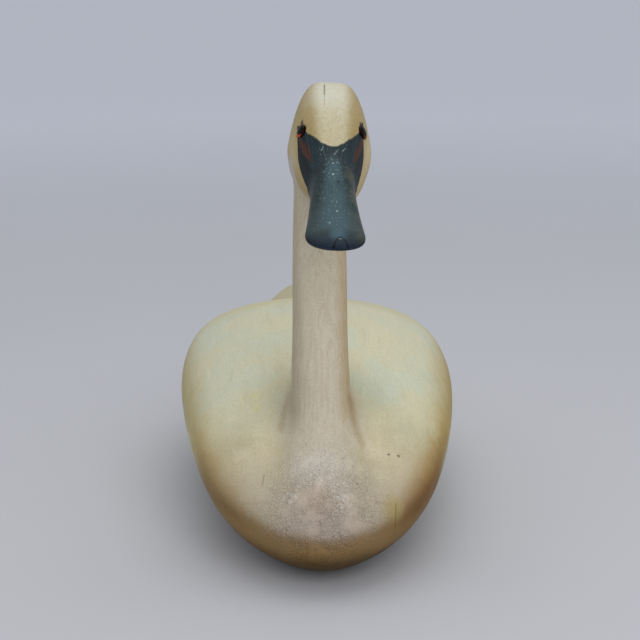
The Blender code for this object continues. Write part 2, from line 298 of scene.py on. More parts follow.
HEAD_STATIONS = (
    # upper y, upper z, under y, under z, half width, widest at, fullness up, down, lean
    (0.127, 0.300, 0.073, 0.300, 0.65, 0.50, 2.0, 2.0, 0.00),
    (0.134, 0.345, 0.078, 0.324, 0.675, 0.50, 2.1, 2.0, 0.05),
    (0.137, 0.385, 0.072, 0.3265, 0.88, 0.47, 2.4, 2.1, 0.18),
    (0.121, 0.411, 0.064, 0.3275, 0.98, 0.43, 3.2, 2.1, 0.31),
    (0.098, 0.4210, 0.057, 0.3280, 1.00, 0.42, 4.4, 2.1, 0.36),
    (0.068, 0.4050, 0.049, 0.3275, 0.90, 0.43, 3.6, 2.2, 0.335),
    (0.037, 0.3765, 0.0385, 0.3265, 0.735, 0.44, 2.6, 2.3, 0.24),
    (0.0235, 0.3665, 0.026, 0.3258, 0.585, 0.46, 2.3, 2.3, 0.14),
    (0.0125, 0.3578, 0.0150, 0.3245, 0.520, 0.47, 2.2, 2.4, 0.06),
    (-0.012, 0.3390, -0.010, 0.3155, 0.580, 0.46, 2.2, 2.4, 0.00),
    (-0.033, 0.3235, -0.032, 0.3080, 0.675, 0.44, 2.2, 2.4, 0.00),
)
LEAN_POWER = 1.2
BILL_TIP = (-0.050, 0.3085)
TIP_SQUARENESS = 2.4
TIP_THINNING = 0.5
TIP_ROUNDING = 0.6

# Hand carving is not quite even: how far each stretch is off the middle line
NECK_ASIDE = -0.002
HEAD_ASIDE = 0.0054
TAIL_ASIDE = -0.003
HEAD_TURN = math.radians(1.6)
HEAD_TIP = math.radians(2.5)
HEAD_MIDDLE = (0.098, 0.370)
HEAD_SET_BY = 3.0
LAST_STATION = len(HEAD_STATIONS) - 1
print("head rings are ruled by", len(HEAD_STATIONS), "stations")

# %% [markdown]
# ## The body's curves
#
# A boat builder draws a hull as a few fair lines and bends everything else between them. The body
# is drawn the same way: half width, top, widest level and bottom are smooth curves through a few
# marks, and each cross-section is an arch over them.


# %% Bend the body's lines
def spline(knots, values, at, level_ends=False):
    """Values at the given places on the smooth cubic curve through the knots."""
    knots = np.asarray(knots, float)
    values = np.asarray(values, float)
    at = np.clip(np.asarray(at, float), knots[0], knots[-1])
    step = np.diff(knots)
    slope = np.diff(values, axis=0) / step.reshape(-1, *[1] * (values.ndim - 1))
    count = len(knots)
    matrix = np.eye(count)
    right = np.zeros_like(values)
    for i in range(1, count - 1):
        matrix[i, i - 1 : i + 2] = step[i - 1], 2 * (step[i - 1] + step[i]), step[i]
        right[i] = 6 * (slope[i] - slope[i - 1])
    if level_ends:
        matrix[0, :2] = 2 * step[0], step[0]
        matrix[-1, -2:] = step[-1], 2 * step[-1]
        right[0], right[-1] = 6 * slope[0], -6 * slope[-1]
    bend = np.linalg.solve(matrix, right.reshape(count, -1)).reshape(values.shape)
    i = np.clip(np.searchsorted(knots, at, side="right") - 1, 0, count - 2)
    extra = [1] * (values.ndim - 1)
    before = (at - knots[i]).reshape(*at.shape, *extra)
    after = (knots[i + 1] - at).reshape(*at.shape, *extra)
    width = step[i].reshape(*at.shape, *extra)
    cubic = (bend[i] * after**3 + bend[i + 1] * before**3) / (6 * width)
    line = (values[i] / width - bend[i] * width / 6) * after
    return cubic + line + (values[i + 1] / width - bend[i + 1] * width / 6) * before


def swing(share):
    """A share of the body's length as the angle whose even steps round off both ends."""
    return np.arccos(np.clip(1 - 2 * np.asarray(share, float), -1, 1))


def body_lines(y):
    """Half width, top, widest level and bottom of the body's section at y."""
    at = swing((np.asarray(y, float) - BREAST_Y) / BODY_LENGTH)
    knots = swing(BODY_AT)
    half = spline(knots, BODY_HALF_WIDTH, at) * BODY_WIDTH / 2
    top = spline(knots, BODY_TOP, at) * BACK_HEIGHT
    rim = spline(knots, BODY_RIM, at, level_ends=True) * BACK_HEIGHT
    bottom = spline(knots, BODY_BOTTOM, at) * BACK_HEIGHT
    return np.maximum(half, 1e-6), top, rim, bottom


def body_height(x, y, upper):
    """Height of the body's upper or lower skin over the plan point x, y."""
    half, top, rim, bottom = body_lines(y)
    out = np.clip(np.abs(x) / half, 0, 1)
    if not upper:
        return rim + (bottom - rim) * (1 - out**BELLY_FULLNESS) ** (1 / BELLY_FULLNESS)
    away = np.hypot(x, y - BREAST_Y - NECK_MIDDLE[0]) / HOLLOW_REACH
    arch = (1 - out**BACK_FULLNESS) ** (1 / BACK_FULLNESS)
    return rim + (top - rim - HOLLOW_DEPTH * np.exp(-(away**2))) * arch


print("body half width at its middle, mm:", round(float(body_lines([0.0])[0][0]) / MM, 1))


# %% [markdown]
# ## Rings from underside to bill
#
# The whole bird is one run of rings: out from the flat underside to the widest line, in over the
# back, up the sweep of the neck, and on through the head to the bill's tip. One run keeps the skin
# closed, and each ring's place along the run can serve as a ruler for the paint later.


# %% Rings of the body
def rim_points(count):
    """Plan points round the body's widest line from the breast, crowded a little to its ends."""
    fine = np.linspace(0, math.pi, 2001)
    y = BREAST_Y + BODY_LENGTH * (1 - np.cos(fine)) / 2
    x = body_lines(y)[0]
    x[[0, -1]] = 0
    run = np.concatenate([[0], np.cumsum(np.hypot(np.diff(x), np.diff(y)))])
    measure = (1 - END_CROWDING) * run / run[-1] + END_CROWDING * fine / math.pi
    half = np.interp(np.linspace(0, 1, count // 2 + 1), measure, fine)
    y = BREAST_Y + BODY_LENGTH * (1 - np.cos(half)) / 2
    x = body_lines(y)[0]
    x[[0, -1]] = 0
    left = np.column_stack([x, y])
    return np.concatenate([left, left[-2:0:-1] * (-1, 1)])


def neck_oval(height, angle):
    """Plan points of the neck at the given heights."""
    sizes = np.column_stack([NECK_MIDDLE, NECK_HALF_WIDTH, NECK_HALF_DEPTH])
    middle, half, depth = np.moveaxis(spline(NECK_AT, sizes, height), -1, 0)
    x = half * NECK_WIDTH / 2 * np.sin(angle)
    return np.column_stack([x, BREAST_Y + middle - depth * np.cos(angle)])


def by_side(sizes, ahead):
    """A size between its front, side and back values: ahead is 1 in front and -1 behind."""
    return (
        sizes["side"]
        + (sizes["front"] - sizes["side"]) * np.clip(ahead, 0, 1) ** 2
        + (sizes["back"] - sizes["side"]) * np.clip(-ahead, 0, 1) ** 2
    )


def sweep_rise(x, y):
    """How far the sweep at the neck's foot stands above the body over plan points outside it."""
    half, depth = NECK_HALF_WIDTH[1] * NECK_WIDTH / 2, NECK_HALF_DEPTH[1]
    back = y - BREAST_Y - NECK_MIDDLE[1]
    away = np.hypot(x, back)
    off = away - away / np.maximum(np.hypot(x / half, back / depth), 1)
    ahead = -back / away
    closer = np.clip(1 - off / by_side(SWEEP_WIDE, ahead), 0, 1)
    return by_side(SWEEP_HIGH, ahead) * (1 - np.sqrt(1 - closer**2))


def belly_rings(rim, count):
    """Rings from the edge of the flat underside up to the widest line."""
    base_middle = np.array([0.0, BREAST_Y + BASE_MIDDLE_AT * BODY_LENGTH])
    inward = np.linspace(0, 1, 400)
    paths = rim[:, None] + (base_middle - rim)[:, None] * inward[:, None]
    heights = body_height(paths[..., 0], paths[..., 1], upper=False)
    edge = np.array([np.interp(0, -row, inward) for row in np.maximum.accumulate(-heights, 1) * -1])
    rings = []
    for share in np.linspace(1, 0, count, endpoint=False):
        way = edge * (1 - math.cos(share * math.pi / 2))
        plan = rim + (base_middle - rim) * way[:, None]
        height = body_height(plan[:, 0], plan[:, 1], upper=False)
        if share == 1:
            height = np.zeros(len(rim))
        rings.append(np.column_stack([plan, np.maximum(height, 0)]))
    return rings


def back_rings(rim, angle, count):
    """Rings from the widest line in over the back and up the sweep to the neck's flank."""
    foot = neck_oval(np.full(len(angle), NECK_AT[1]), angle)
    rings = []
    for share in np.linspace(0, 1, count):
        way = ((1 + math.cos(share * math.pi)) / 2) ** NECK_CROWDING
        x, y = (foot + (rim - foot) * way).T
        rings.append(np.column_stack([x, y, body_height(x, y, upper=True) + sweep_rise(x, y)]))
    return rings


def neck_rings(foot, angle, count):
    """Rings up the neck from its foot to the height where the head's rings take over."""
    rings = []
    for share in np.linspace(0, 1, count + 1, endpoint=False)[1:]:
        height = foot[:, 2] + (NECK_AT[-1] - foot[:, 2]) * share
        plan = neck_oval(height, angle)
        plan += (foot[:, :2] - plan) * (1 - share) ** 4
        rings.append(np.column_stack([plan, height]))
    return rings


print("rim points for a ring of 8:", np.round(rim_points(8)[:3], 3).tolist())


# %% Rings of the head
def head_ring(values, angle):
    """One ring of the head or bill from a row of HEAD_STATIONS."""
    up_y, up_z, low_y, low_z, half, widest, full_up, full_low, lean = values
    along = -np.cos(angle)
    across = np.sin(angle)
    full = np.where(along > 0, full_up, full_low)
    reach = (np.abs(along) ** full + np.abs(across) ** full) ** (-1 / full)
    rise = along * reach
    x = half * HEAD_WIDTH / 2 * across * reach * (1 - lean * np.clip(rise, 0, 1) ** LEAN_POWER)
    share = np.where(rise > 0, widest + rise * (1 - widest), widest + rise * widest)
    y = BREAST_Y + low_y + (up_y - low_y) * share
    z = low_z + (up_z - low_z) * share
    return np.column_stack([x, y, z])


def head_skin(station, angle):
    """Points of the head at a place between the rows of HEAD_STATIONS."""
    rows = np.array(HEAD_STATIONS)
    return head_ring(spline(np.arange(len(rows)), rows, station), angle)


def tip_rings(angle, count):
    """The rounded end of the bill, closing to a point."""
    last = np.array(HEAD_STATIONS[-1])
    upper, under, tip = last[0:2], last[2:4], np.array(BILL_TIP)
    rings = []
    for share in np.linspace(0, 1, count + 1, endpoint=False)[1:]:
        forward = math.sin(share * math.pi / 2)
        closing = (1 - forward**TIP_SQUARENESS) ** (1 / TIP_SQUARENESS)
        middle = (upper + under) / 2 * (1 - forward) + tip * forward
        thick = (upper - under) / 2 * (1 - TIP_THINNING * forward) * closing**TIP_ROUNDING
        row = last.copy()
        row[0:2], row[2:4] = middle + thick, middle - thick
        row[4] *= closing
        rings.append(head_ring(row, angle))
    return rings


def ease(share):
    """A smooth step from 0 to 1."""
    share = np.clip(share, 0, 1)
    return share * share * (3 - 2 * share)


def set_aside(points, head_share):
    """Shifts the tail, neck and head off the middle line, and turns and tips the head."""
    x, y, z = np.array(points).T
    turn, tip = HEAD_TURN * head_share, HEAD_TIP * head_share
    back, up = y - BREAST_Y - HEAD_MIDDLE[0], z - HEAD_MIDDLE[1]
    x, back = x * np.cos(turn) - back * np.sin(turn), x * np.sin(turn) + back * np.cos(turn)
    x, up = x * np.cos(tip) + up * np.sin(tip), up * np.cos(tip) - x * np.sin(tip)
    x += NECK_ASIDE * ease((z - NECK_AT[0]) / (NECK_AT[2] - NECK_AT[0]))
    x += (HEAD_ASIDE - NECK_ASIDE) * head_share
    x += TAIL_ASIDE * np.clip((y - TAIL_BEND_Y) / (TAIL_Y - TAIL_BEND_Y), 0, 1) ** 2
    return np.column_stack([x, back + BREAST_Y + HEAD_MIDDLE[0], up + HEAD_MIDDLE[1]])


print("bill tip, mm:", np.round(np.array(BILL_TIP) / MM, 1).tolist())

# %% [markdown]
# ## The skin, and rulers for the painter
#
# Paint borders on the face follow the carving, not the room: the bill's edge runs so many degrees
# round the head at such a distance along it. So each point of the skin keeps two rulers as
# attributes: `station`, its place along the head, and `around`, 0 on the crown's middle line and 1
# under the chin. A third, `nail`, says how far a point is outside the small shield at the bill's
# tip. The nail is also raised a little in the mesh, with a knife cut round it.

# %% Choose the counts and the nail's size
ROUND = 256
BELLY_RINGS = 50
BACK_RINGS = 80
NECK_RINGS = 45
HEAD_RINGS = 150
TIP_RINGS = 44

NAIL_HALF_WIDTH = 5.5 * MM
NAIL_LENGTH = 10.6 * MM
NAIL_ASIDE = 3.4 * MM
NAIL_RAISED = 0.30 * MM
CUT_DEPTH = 0.35 * MM
CUT_HALF_WIDTH = 0.45 * MM


def nail_distance(points, top_half):
    """Metres outside the nail's outline, less than 0 inside, over points not yet set aside."""
    across = np.abs(points[:, 0] - NAIL_ASIDE) / NAIL_HALF_WIDTH
    tip_y, tip_z = BREAST_Y + BILL_TIP[0], BILL_TIP[1]
    back = np.hypot(points[:, 1] - tip_y, points[:, 2] - tip_z) / NAIL_LENGTH
    outside = (across**1.3 + back**2 - 1) * NAIL_LENGTH / 2.2
    return np.where(top_half, np.clip(outside, -1, 0.01), 0.01)


print("nail, mm:", round(2 * NAIL_HALF_WIDTH / MM, 1), "by", round(NAIL_LENGTH / MM, 1))

# %% Run the rings over the bird
turn = np.arange(ROUND) * 2 * math.pi / ROUND
around_ring = np.abs(turn - math.pi) / math.pi
rim = rim_points(ROUND)
rings = belly_rings(rim, BELLY_RINGS) + back_rings(rim, turn, BACK_RINGS)
rings += neck_rings(rings[-1], turn, NECK_RINGS)
stations = [-1.0] * len(rings)
for head_place in np.linspace(0, LAST_STATION, HEAD_RINGS):
    rings.append(head_skin(head_place, turn))
    stations.append(float(head_place))
stations += [LAST_STATION + share for share in np.linspace(0, 1, TIP_RINGS + 1, endpoint=False)[1:]]
rings += tip_rings(turn, TIP_RINGS)
last_point = np.array([[0.0, BREAST_Y + BILL_TIP[0], BILL_TIP[1]]])

straight = np.concatenate([*rings, last_point])
station_of = np.concatenate([np.repeat(stations, ROUND), [LAST_STATION + 1.0]])
around_of = np.concatenate([np.tile(around_ring, len(rings)), [0.5]])
nail_of = nail_distance(straight, (around_of < 0.5) & (station_of > LAST_STATION - 1))
points = np.concatenate(
    [set_aside(ring, float(ease(at / HEAD_SET_BY))) for ring, at in zip(rings, stations)]
    + [set_aside(last_point, 1.0)]
)
print("rings:", len(rings), " points:", len(points))


# %% Build the skin
def ring_faces(ring_count, round_count):
    """Faces over rings of points: one closes the first ring, and the last runs to a point."""
    faces = [tuple(range(round_count))[::-1]]
    for ring in range(ring_count - 1):
        low, high = ring * round_count, (ring + 1) * round_count
        for i in range(round_count):
            j = (i + 1) % round_count
            faces.append((low + i, low + j, high + j, high + i))
    last = (ring_count - 1) * round_count
    tip = ring_count * round_count
    return faces + [(last + i, last + (i + 1) % round_count, tip) for i in range(round_count)]


def keep_ruler(mesh, name, values):
    """Stores one number for each point of a mesh, for its material to read."""
    mesh.attributes.new(name, "FLOAT", "POINT").data.foreach_set("value", values)


skin_mesh = bpy.data.meshes.new("swan_skin")
skin_mesh.from_pydata(points.tolist(), [], ring_faces(len(rings), ROUND))
facing = np.zeros(len(points) * 3)
skin_mesh.vertex_normals.foreach_get("vector", facing)
facing = facing.reshape(-1, 3)

inside = np.clip(-nail_of / (2 * CUT_HALF_WIDTH), 0, 1)
cut = np.clip(1 - np.abs(nail_of) / CUT_HALF_WIDTH, 0, 1)
relief = NAIL_RAISED * ease(inside) - CUT_DEPTH * ease(cut)
points += facing * relief[:, None]
skin_mesh.vertices.foreach_set("co", points.ravel())
for ruler, values in (("station", station_of), ("around", around_of), ("nail", nail_of)):
    keep_ruler(skin_mesh, ruler, values)
skin_mesh.shade_smooth()
skin_mesh.polygons[0].use_smooth = False
swan_skin = bpy.data.objects.new("swan_skin", skin_mesh)
bpy.context.scene.collection.objects.link(swan_skin)
print("skin faces:", len(skin_mesh.polygons))

# %% [markdown]
# ## The knife's marks
#
# A decoy is shaped with a spokeshave and sanded by hand, so no stretch of it is quite fair. A small
# Geometry Nodes tree sinks the skin by a fraction of a millimetre in long soft swells. Its seed is
# fixed, so that each run carves the same bird, and it leaves the flat underside alone.


# %% Make the carving tree
def new_tree(name, sockets):
    """An empty Geometry Nodes tree with its named inputs, and its first and last node."""
    tree = bpy.data.node_groups.new(name, "GeometryNodeTree")
    tree.interface.new_socket("Geometry", in_out="OUTPUT", socket_type="NodeSocketGeometry")
    for socket_name, kind in sockets:
        tree.interface.new_socket(socket_name, in_out="INPUT", socket_type="NodeSocket" + kind)
    return Bench(tree), tree.nodes.new("NodeGroupInput"), tree.nodes.new("NodeGroupOutput")


def run_tree(target, bench, **values):
    """Puts a tree on an object, with its inputs set by their identifiers."""
    modifier = target.modifiers.new(bench.tree.name, "NODES")
    modifier.node_group = bench.tree
    for item in bench.tree.interface.items_tree:
        key = item.name.lower().replace(" ", "_")
        if item.in_out == "INPUT" and key in values:
            modifier[item.identifier] = values[key]


marks, marks_in, marks_out = new_tree(
    "knife_marks",
    [("Geometry", "Geometry"), ("Depth", "Float"), ("Swells per metre", "Float"), ("Seed", "Float")]
    + [("Finish", "Material")],
)
place = marks.add("GeometryNodeInputPosition").outputs[0]
height = marks.add("ShaderNodeSeparateXYZ", [(0, place)]).outputs[2]
long_way = marks.vector("MULTIPLY", place, (1.0, 0.45, 0.8))
swell = marks.noise(
    long_way, marks_in.outputs["Swells per metre"], 2.0, seed=marks_in.outputs["Seed"]
)
clear_of_base = marks.step(height, 0.001, 0.012)
sunk = marks.product(swell, clear_of_base, marks_in.outputs["Depth"], -1.0)
outward = marks.add("GeometryNodeInputNormal").outputs[0]
moved = marks.add(
    "GeometryNodeSetPosition",
    [("Geometry", marks_in.outputs["Geometry"]), ("Offset", marks.scaled(outward, sunk))],
)
realized = marks.add("GeometryNodeRealizeInstances", [("Geometry", moved.outputs[0])])
finished = marks.add(
    "GeometryNodeSetMaterial",
    [("Geometry", realized.outputs[0]), ("Material", marks_in.outputs["Finish"])],
)
marks.feed(marks_out.inputs[0], finished.outputs[0])
print("knife marks tree has", len(marks.tree.nodes), "nodes")

# %% [markdown]
# ## Mixing the cream
#
# The body was painted one cream, and time did the rest. The recipe starts with that cream and lays soft zones
# over it, each where the photograph has it: a cooler, greener back that daylight has bleached, a pinkish grey
# breast, and brown along every edge that hands and tables touch, which is partly that grime and partly painted
# shade. Some zones are painted light and shade alone: a painted sheen high on the breast, and painted shade in
# the hollows beside the neck's foot and on the shoulders. Each zone is a smooth step along a ruler or a
# distance from a place, broken up by noise so that no border looks sprayed.


# %% Add painter's tools to the bench
class PaintBench(Bench):
    """A bench for one material, with the tools of a painter."""

    def __init__(self, name, gleam=0.5):
        self.material = bpy.data.materials.new(name)
        self.material.use_nodes = True
        super().__init__(self.material.node_tree)
        self.shader = self.tree.nodes["Principled BSDF"]
        self.shader.inputs["Specular IOR Level"].default_value = gleam
        self.at = self.add("ShaderNodeTexCoord").outputs["Object"]
        self.x, self.y, self.z = self.add("ShaderNodeSeparateXYZ", [(0, self.at)]).outputs

    def ruler(self, name):
        """A number that the mesh keeps for each point."""
        return self.add("ShaderNodeAttribute", attribute_name=name).outputs["Fac"]

    def blend(self, share, under, over):
        """One tone laid over another by a share."""
        pairs = [(0, share), (6, under), (7, over)]
        return self.add("ShaderNodeMix", pairs, data_type="RGBA").outputs[2]

    def multiply(self, share, under, over):
        """A tone glazed over another: it darkens and tints by a share."""
        pairs = [(0, share), (6, under), (7, over)]
        return self.add("ShaderNodeMix", pairs, data_type="RGBA", blend_type="MULTIPLY").outputs[2]

    def curve(self, value, pairs, longest):
        """A height over 0 to 1, drawn through pairs of (place, height) of up to longest."""
        node = self.add("ShaderNodeFloatCurve", [("Value", value)])
        line = node.mapping.curves[0]
        for _ in pairs[2:]:
            line.points.new(0.5, 0.5)
        for point, (place_at, tall) in zip(line.points, pairs):
            point.location = place_at, tall / longest
            point.handle_type = "VECTOR"
        node.mapping.update()
        return self.math("MULTIPLY", node.outputs[0], longest)

    def spot(self, place_at, radius, soft=0.5):
        """A round mark at a place: 1 in its middle, and 0 from its radius on."""
        away = self.vector("DISTANCE", self.at, place_at, output="Value")
        return self.step(away, radius, radius * (1 - soft))

    def stroke(self, start, stop, half_start, half_stop, soft=0.5, seen=(1, 1, 1)):
        """A line as wide as it is given at each end. It cuts right through an axis seen as 0."""
        start, stop = Vector(start) * Vector(seen), Vector(stop) * Vector(seen)
        way = stop - start
        from_start = self.vector("SUBTRACT", self.vector("MULTIPLY", self.at, seen), start)
        share = self.vector("DOT_PRODUCT", from_start, way / way.length_squared, output="Value")
        share = self.math("MINIMUM", self.math("MAXIMUM", share, 0.0), 1.0)
        away = self.vector("DISTANCE", from_start, self.scaled(way, share), output="Value")
        half = self.math("MULTIPLY_ADD", share, half_stop - half_start, half_start)
        return self.step(self.math("DIVIDE", away, half), 1.0, 1 - soft)

    def any_of(self, *masks):
        """The strongest of several masks."""
        result = masks[0]
        for mask in masks[1:]:
            result = self.math("MAXIMUM", result, mask)
        return result

    def finish(self, colour, roughness, height):
        """Wires tone, roughness and a height in metres into the material's shader."""
        bump = self.add("ShaderNodeBump", [("Height", height), ("Distance", 1.0)])
        self.feed(self.shader.inputs["Base Color"], colour)
        self.feed(self.shader.inputs["Roughness"], roughness)
        self.feed(self.shader.inputs["Normal"], bump.outputs[0])


OLD_PAINT_GLEAM = 0.14
paint = PaintBench("old_swan_paint", OLD_PAINT_GLEAM)
print("painter's bench for", paint.material.name)

# %% Lay the cream over body and neck
CREAM = tone(214, 205, 174)
CREAM_SHADE = tone(202, 191, 156)
BLEACHED_BACK = tone(210, 207, 176)
BLEACHED_COOL = tone(203, 208, 185)
BRUSHED_PALE = tone(222, 218, 192)
BRUSHED_DARK = tone(188, 186, 150)
FAR_YELLOW = tone(200, 191, 146)
# Painted shade: a cooler, greener tone in the hollows beside the neck.
COOL_SHADE = tone(200, 211, 203)
# Painted shade on the shoulders beside the neck's foot.
SHOULDER_SHADE = tone(242, 242, 243)
BREAST_GREY = tone(193, 182, 158)
BREAST_DUSK = tone(176, 161, 152)
NECK_PINK = tone(207, 198, 177)
CROWN_PALE = tone(202, 197, 174)
# Painted sheen high on the breast, where it faces up.
BREAST_SHEEN = tone(222, 213, 202)
FOOT_SHADE = tone(218, 215, 204)
TAIL_SHADE = tone(228, 230, 240)

cloudy = paint.noise(paint.at, 13.0, detail=3.0, seed=3.0)
mottled = paint.noise(paint.at, 55.0, detail=5.0, seed=8.0)
fine = paint.noise(paint.at, 620.0, detail=4.0, roughness=0.7, seed=2.0)
wander = paint.math("MULTIPLY_ADD", cloudy, 0.06, -0.03)
y_soft = paint.math("ADD", paint.y, wander)
z_soft = paint.math("ADD", paint.z, wander)
station = paint.ruler("station")
around = paint.ruler("around")

NECK_AXIS = (0.0, BREAST_Y + NECK_MIDDLE[1], 0.0)
in_plan = paint.vector("MULTIPLY", paint.at, (1.1, 1.0, 0.0))
off_neck = paint.vector("DISTANCE", in_plan, NECK_AXIS, output="Value")
on_neck = paint.product(paint.step(off_neck, 0.056, 0.034), paint.step(z_soft, 0.095, 0.14))
on_back = paint.product(paint.step(y_soft, -0.225, -0.15), paint.step(paint.z, 0.24, 0.19))
far_back = paint.step(y_soft, 0.03, 0.14)
on_breast = paint.product(paint.step(y_soft, -0.185, -0.250), paint.step(z_soft, 0.145, 0.075))
# A painted sheen: the top of the breast is made paler.
breast_top_sheen = paint.spot((-0.002, -0.2420, 0.1070), 0.040, soft=0.9)
breast_heart = paint.spot((-0.004, -0.2690, 0.0540), 0.070, soft=0.8)
neck_foot = paint.product(paint.spot((0.0, -0.175, 0.135), 0.095, soft=0.9), on_back)
# Painted shade in the hollows on the back beside the neck, as a cool tint.
cool_shade_patches = paint.any_of(
    paint.spot((-0.0614, -0.1262, 0.1505), 0.030, soft=0.9),
    paint.spot((0.0610, -0.1485, 0.1415), 0.027, soft=0.9),
)
# Painted shade: the shoulders beside the neck's foot are darkened a little.
shoulder_shade = paint.any_of(
    paint.spot((-0.0760, -0.1899, 0.1130), 0.034, soft=0.9),
    paint.spot((0.0770, -0.1906, 0.1117), 0.034, soft=0.9),
)
tail_left = paint.product(paint.step(paint.y, 0.17, 0.26), paint.step(paint.x, 0.012, -0.02))
on_head = paint.step(station, 1.0, 3.2)

cream = paint.blend(paint.step(mottled, 0.36, 0.64), CREAM, CREAM_SHADE)
bleached = paint.blend(paint.step(cloudy, 0.40, 0.62), BLEACHED_BACK, BLEACHED_COOL)
bleached = paint.blend(paint.product(paint.step(mottled, 0.48, 0.70), 0.25), bleached, CREAM)
brushed = paint.noise(paint.vector("MULTIPLY", paint.at, (110.0, 14.0, 60.0)), 1.0, seed=14.0)
bleached = paint.blend(paint.product(paint.step(brushed, 0.55, 0.72), 0.4), bleached, BRUSHED_PALE)
bleached = paint.blend(paint.product(paint.step(brushed, 0.45, 0.30), 0.3), bleached, BRUSHED_DARK)
cream = paint.blend(on_back, cream, bleached)
cream = paint.blend(paint.product(cool_shade_patches, 0.32), cream, COOL_SHADE)
cream = paint.blend(paint.product(far_back, 0.8), cream, FAR_YELLOW)
cream = paint.blend(on_breast, cream, BREAST_GREY)
cream = paint.blend(paint.product(breast_heart, 0.75), cream, BREAST_DUSK)
cream = paint.blend(paint.product(breast_top_sheen, 0.8), cream, BREAST_SHEEN)
cream = paint.blend(paint.product(on_neck, 0.9), cream, NECK_PINK)
cream = paint.multiply(neck_foot, cream, FOOT_SHADE)
cream = paint.multiply(tail_left, cream, TAIL_SHADE)
cream = paint.multiply(paint.product(shoulder_shade, 0.8), cream, SHOULDER_SHADE)
cream = paint.blend(on_head, cream, CROWN_PALE)
print("cream zones laid, nodes so far:", len(paint.tree.nodes))

# %% [markdown]
# ## Grime, painted shade and cracks
#
# Hands lift the bird by its neck and turn it over by its edges, and smoke and varnish collect where nobody
# wipes. Brown therefore goes where the skin faces down or turns to the side, but that brown is also painted
# shade, because those faces take less light, and low down it also holds a painted brown cast of light from
# below. The breast has dried into a fine crackle, with whitish patches that are partly paint gone to chalk
# where it has lifted and partly painted sheen. The few marks that stand out one by one are put where they are:
# specks, a scratch, a stain, yellow spots, a worn place, painted shade in the creases at the neck's foot,
# faint lines on the breast's ridge, and a drying crack each in the breast and the crown.

# %% Rub in the brown and the painted shade
NECK_SHADE = tone(208, 199, 182)

skin_facing = paint.add("ShaderNodeNewGeometry").outputs["Normal"]
facing_x, _, facing_up = paint.add("ShaderNodeSeparateXYZ", [(0, skin_facing)]).outputs
patchy = paint.math("MULTIPLY_ADD", mottled, 0.36, -0.18)
down = paint.math("ADD", facing_up, patchy)
sideways = paint.math("ADD", paint.math("ABSOLUTE", facing_x), patchy)
below_neck = paint.step(paint.z, 0.20, 0.15)

# Side edges, where the skin turns to the side: partly grime and partly painted shade.
side_edge = paint.product(
    paint.step(down, 0.86, 0.30),
    paint.step(down, -0.35, 0.20),
    paint.step(paint.math("ABSOLUTE", paint.x), 0.060, 0.110),
    below_neck,
)
to_left = paint.step(paint.x, 0.0, 0.012)
# Painted shade on the front flanks, which face away from the light above.
flank = paint.product(
    paint.step(down, 0.68, 0.0),
    paint.step(paint.z, 0.135, 0.100),
    paint.step(y_soft, -0.12, -0.20),
    paint.step(paint.math("ABSOLUTE", paint.x), 0.030, 0.085),
)
left_flank = paint.product(flank, to_left)
# Painted shade low on the front, where the skin faces down.
low_front_shade = paint.product(
    paint.step(down, 0.30, -0.20),
    paint.step(paint.z, 0.095, 0.060),
    paint.step(y_soft, -0.10, -0.18),
)
# Darker and browner towards the bottom: partly grime, partly painted shade with a painted brown cast of light
# from below.
low_edge = paint.product(paint.step(down, 0.10, -0.40), paint.step(z_soft, 0.085, 0.020))
lowest_edge = paint.product(paint.step(down, -0.18, -0.75), paint.step(z_soft, 0.060, 0.010))
# Painted shade down both sides of the neck, where it turns away; it is tinted brown on the left.
neck_height = paint.product(paint.step(paint.z, 0.115, 0.16), paint.step(paint.z, 0.36, 0.31))
shaded_neck_left = paint.product(
    paint.step(sideways, 0.55, 1.0), paint.step(facing_x, 0.3, 0.7), neck_height
)
shaded_neck_right = paint.product(
    paint.step(sideways, 0.60, 1.0), paint.step(facing_x, -0.3, -0.7), neck_height
)
# Brown on the side edges is partly grime and partly painted shade; on the left it is darkened further as
# painted shade.
EDGE_GRIME_AND_SHADE = tone(228, 210, 172)
LEFT_EDGE_SHADE = tone(240, 226, 200)
# Painted shade on the front flanks and low front; the left flank is darkened more.
FLANK_SHADE = tone(208, 192, 170)
LEFT_FLANK_SHADE = tone(224, 206, 184)
LOW_FRONT_SHADE = tone(207, 189, 158)
# Tones for the low edges: partly grime, partly painted shade and a painted brown cast of light from below.
GRIME_AND_SHADE = tone(154, 121, 68)
DEEP_GRIME_AND_SHADE = tone(82, 58, 6)
# Painted shade on the left side of the neck, tinted brown.
NECK_SIDE_SHADE = tone(218, 182, 100)
cream = paint.multiply(paint.product(side_edge, 0.95), cream, EDGE_GRIME_AND_SHADE)
cream = paint.multiply(paint.product(side_edge, to_left), cream, LEFT_EDGE_SHADE)
cream = paint.multiply(flank, cream, FLANK_SHADE)
cream = paint.multiply(left_flank, cream, LEFT_FLANK_SHADE)
cream = paint.multiply(low_front_shade, cream, LOW_FRONT_SHADE)
cream = paint.multiply(paint.product(shaded_neck_left, 0.5), cream, NECK_SIDE_SHADE)
cream = paint.multiply(paint.product(shaded_neck_right, 0.5), cream, NECK_SHADE)
cream = paint.blend(paint.product(low_edge, 0.85), cream, GRIME_AND_SHADE)
cream = paint.blend(paint.product(lowest_edge, 0.95), cream, DEEP_GRIME_AND_SHADE)
print("edges rubbed: side, flank, low front, neck, lowest")

# %% Crackle the breast
CRACK_BROWN = tone(120, 104, 92)
PIT_BROWN = tone(104, 88, 76)
# Whitish patches: partly chalk where the paint has lifted, partly a painted sheen.
CHALK_AND_SHEEN = tone(226, 224, 220)

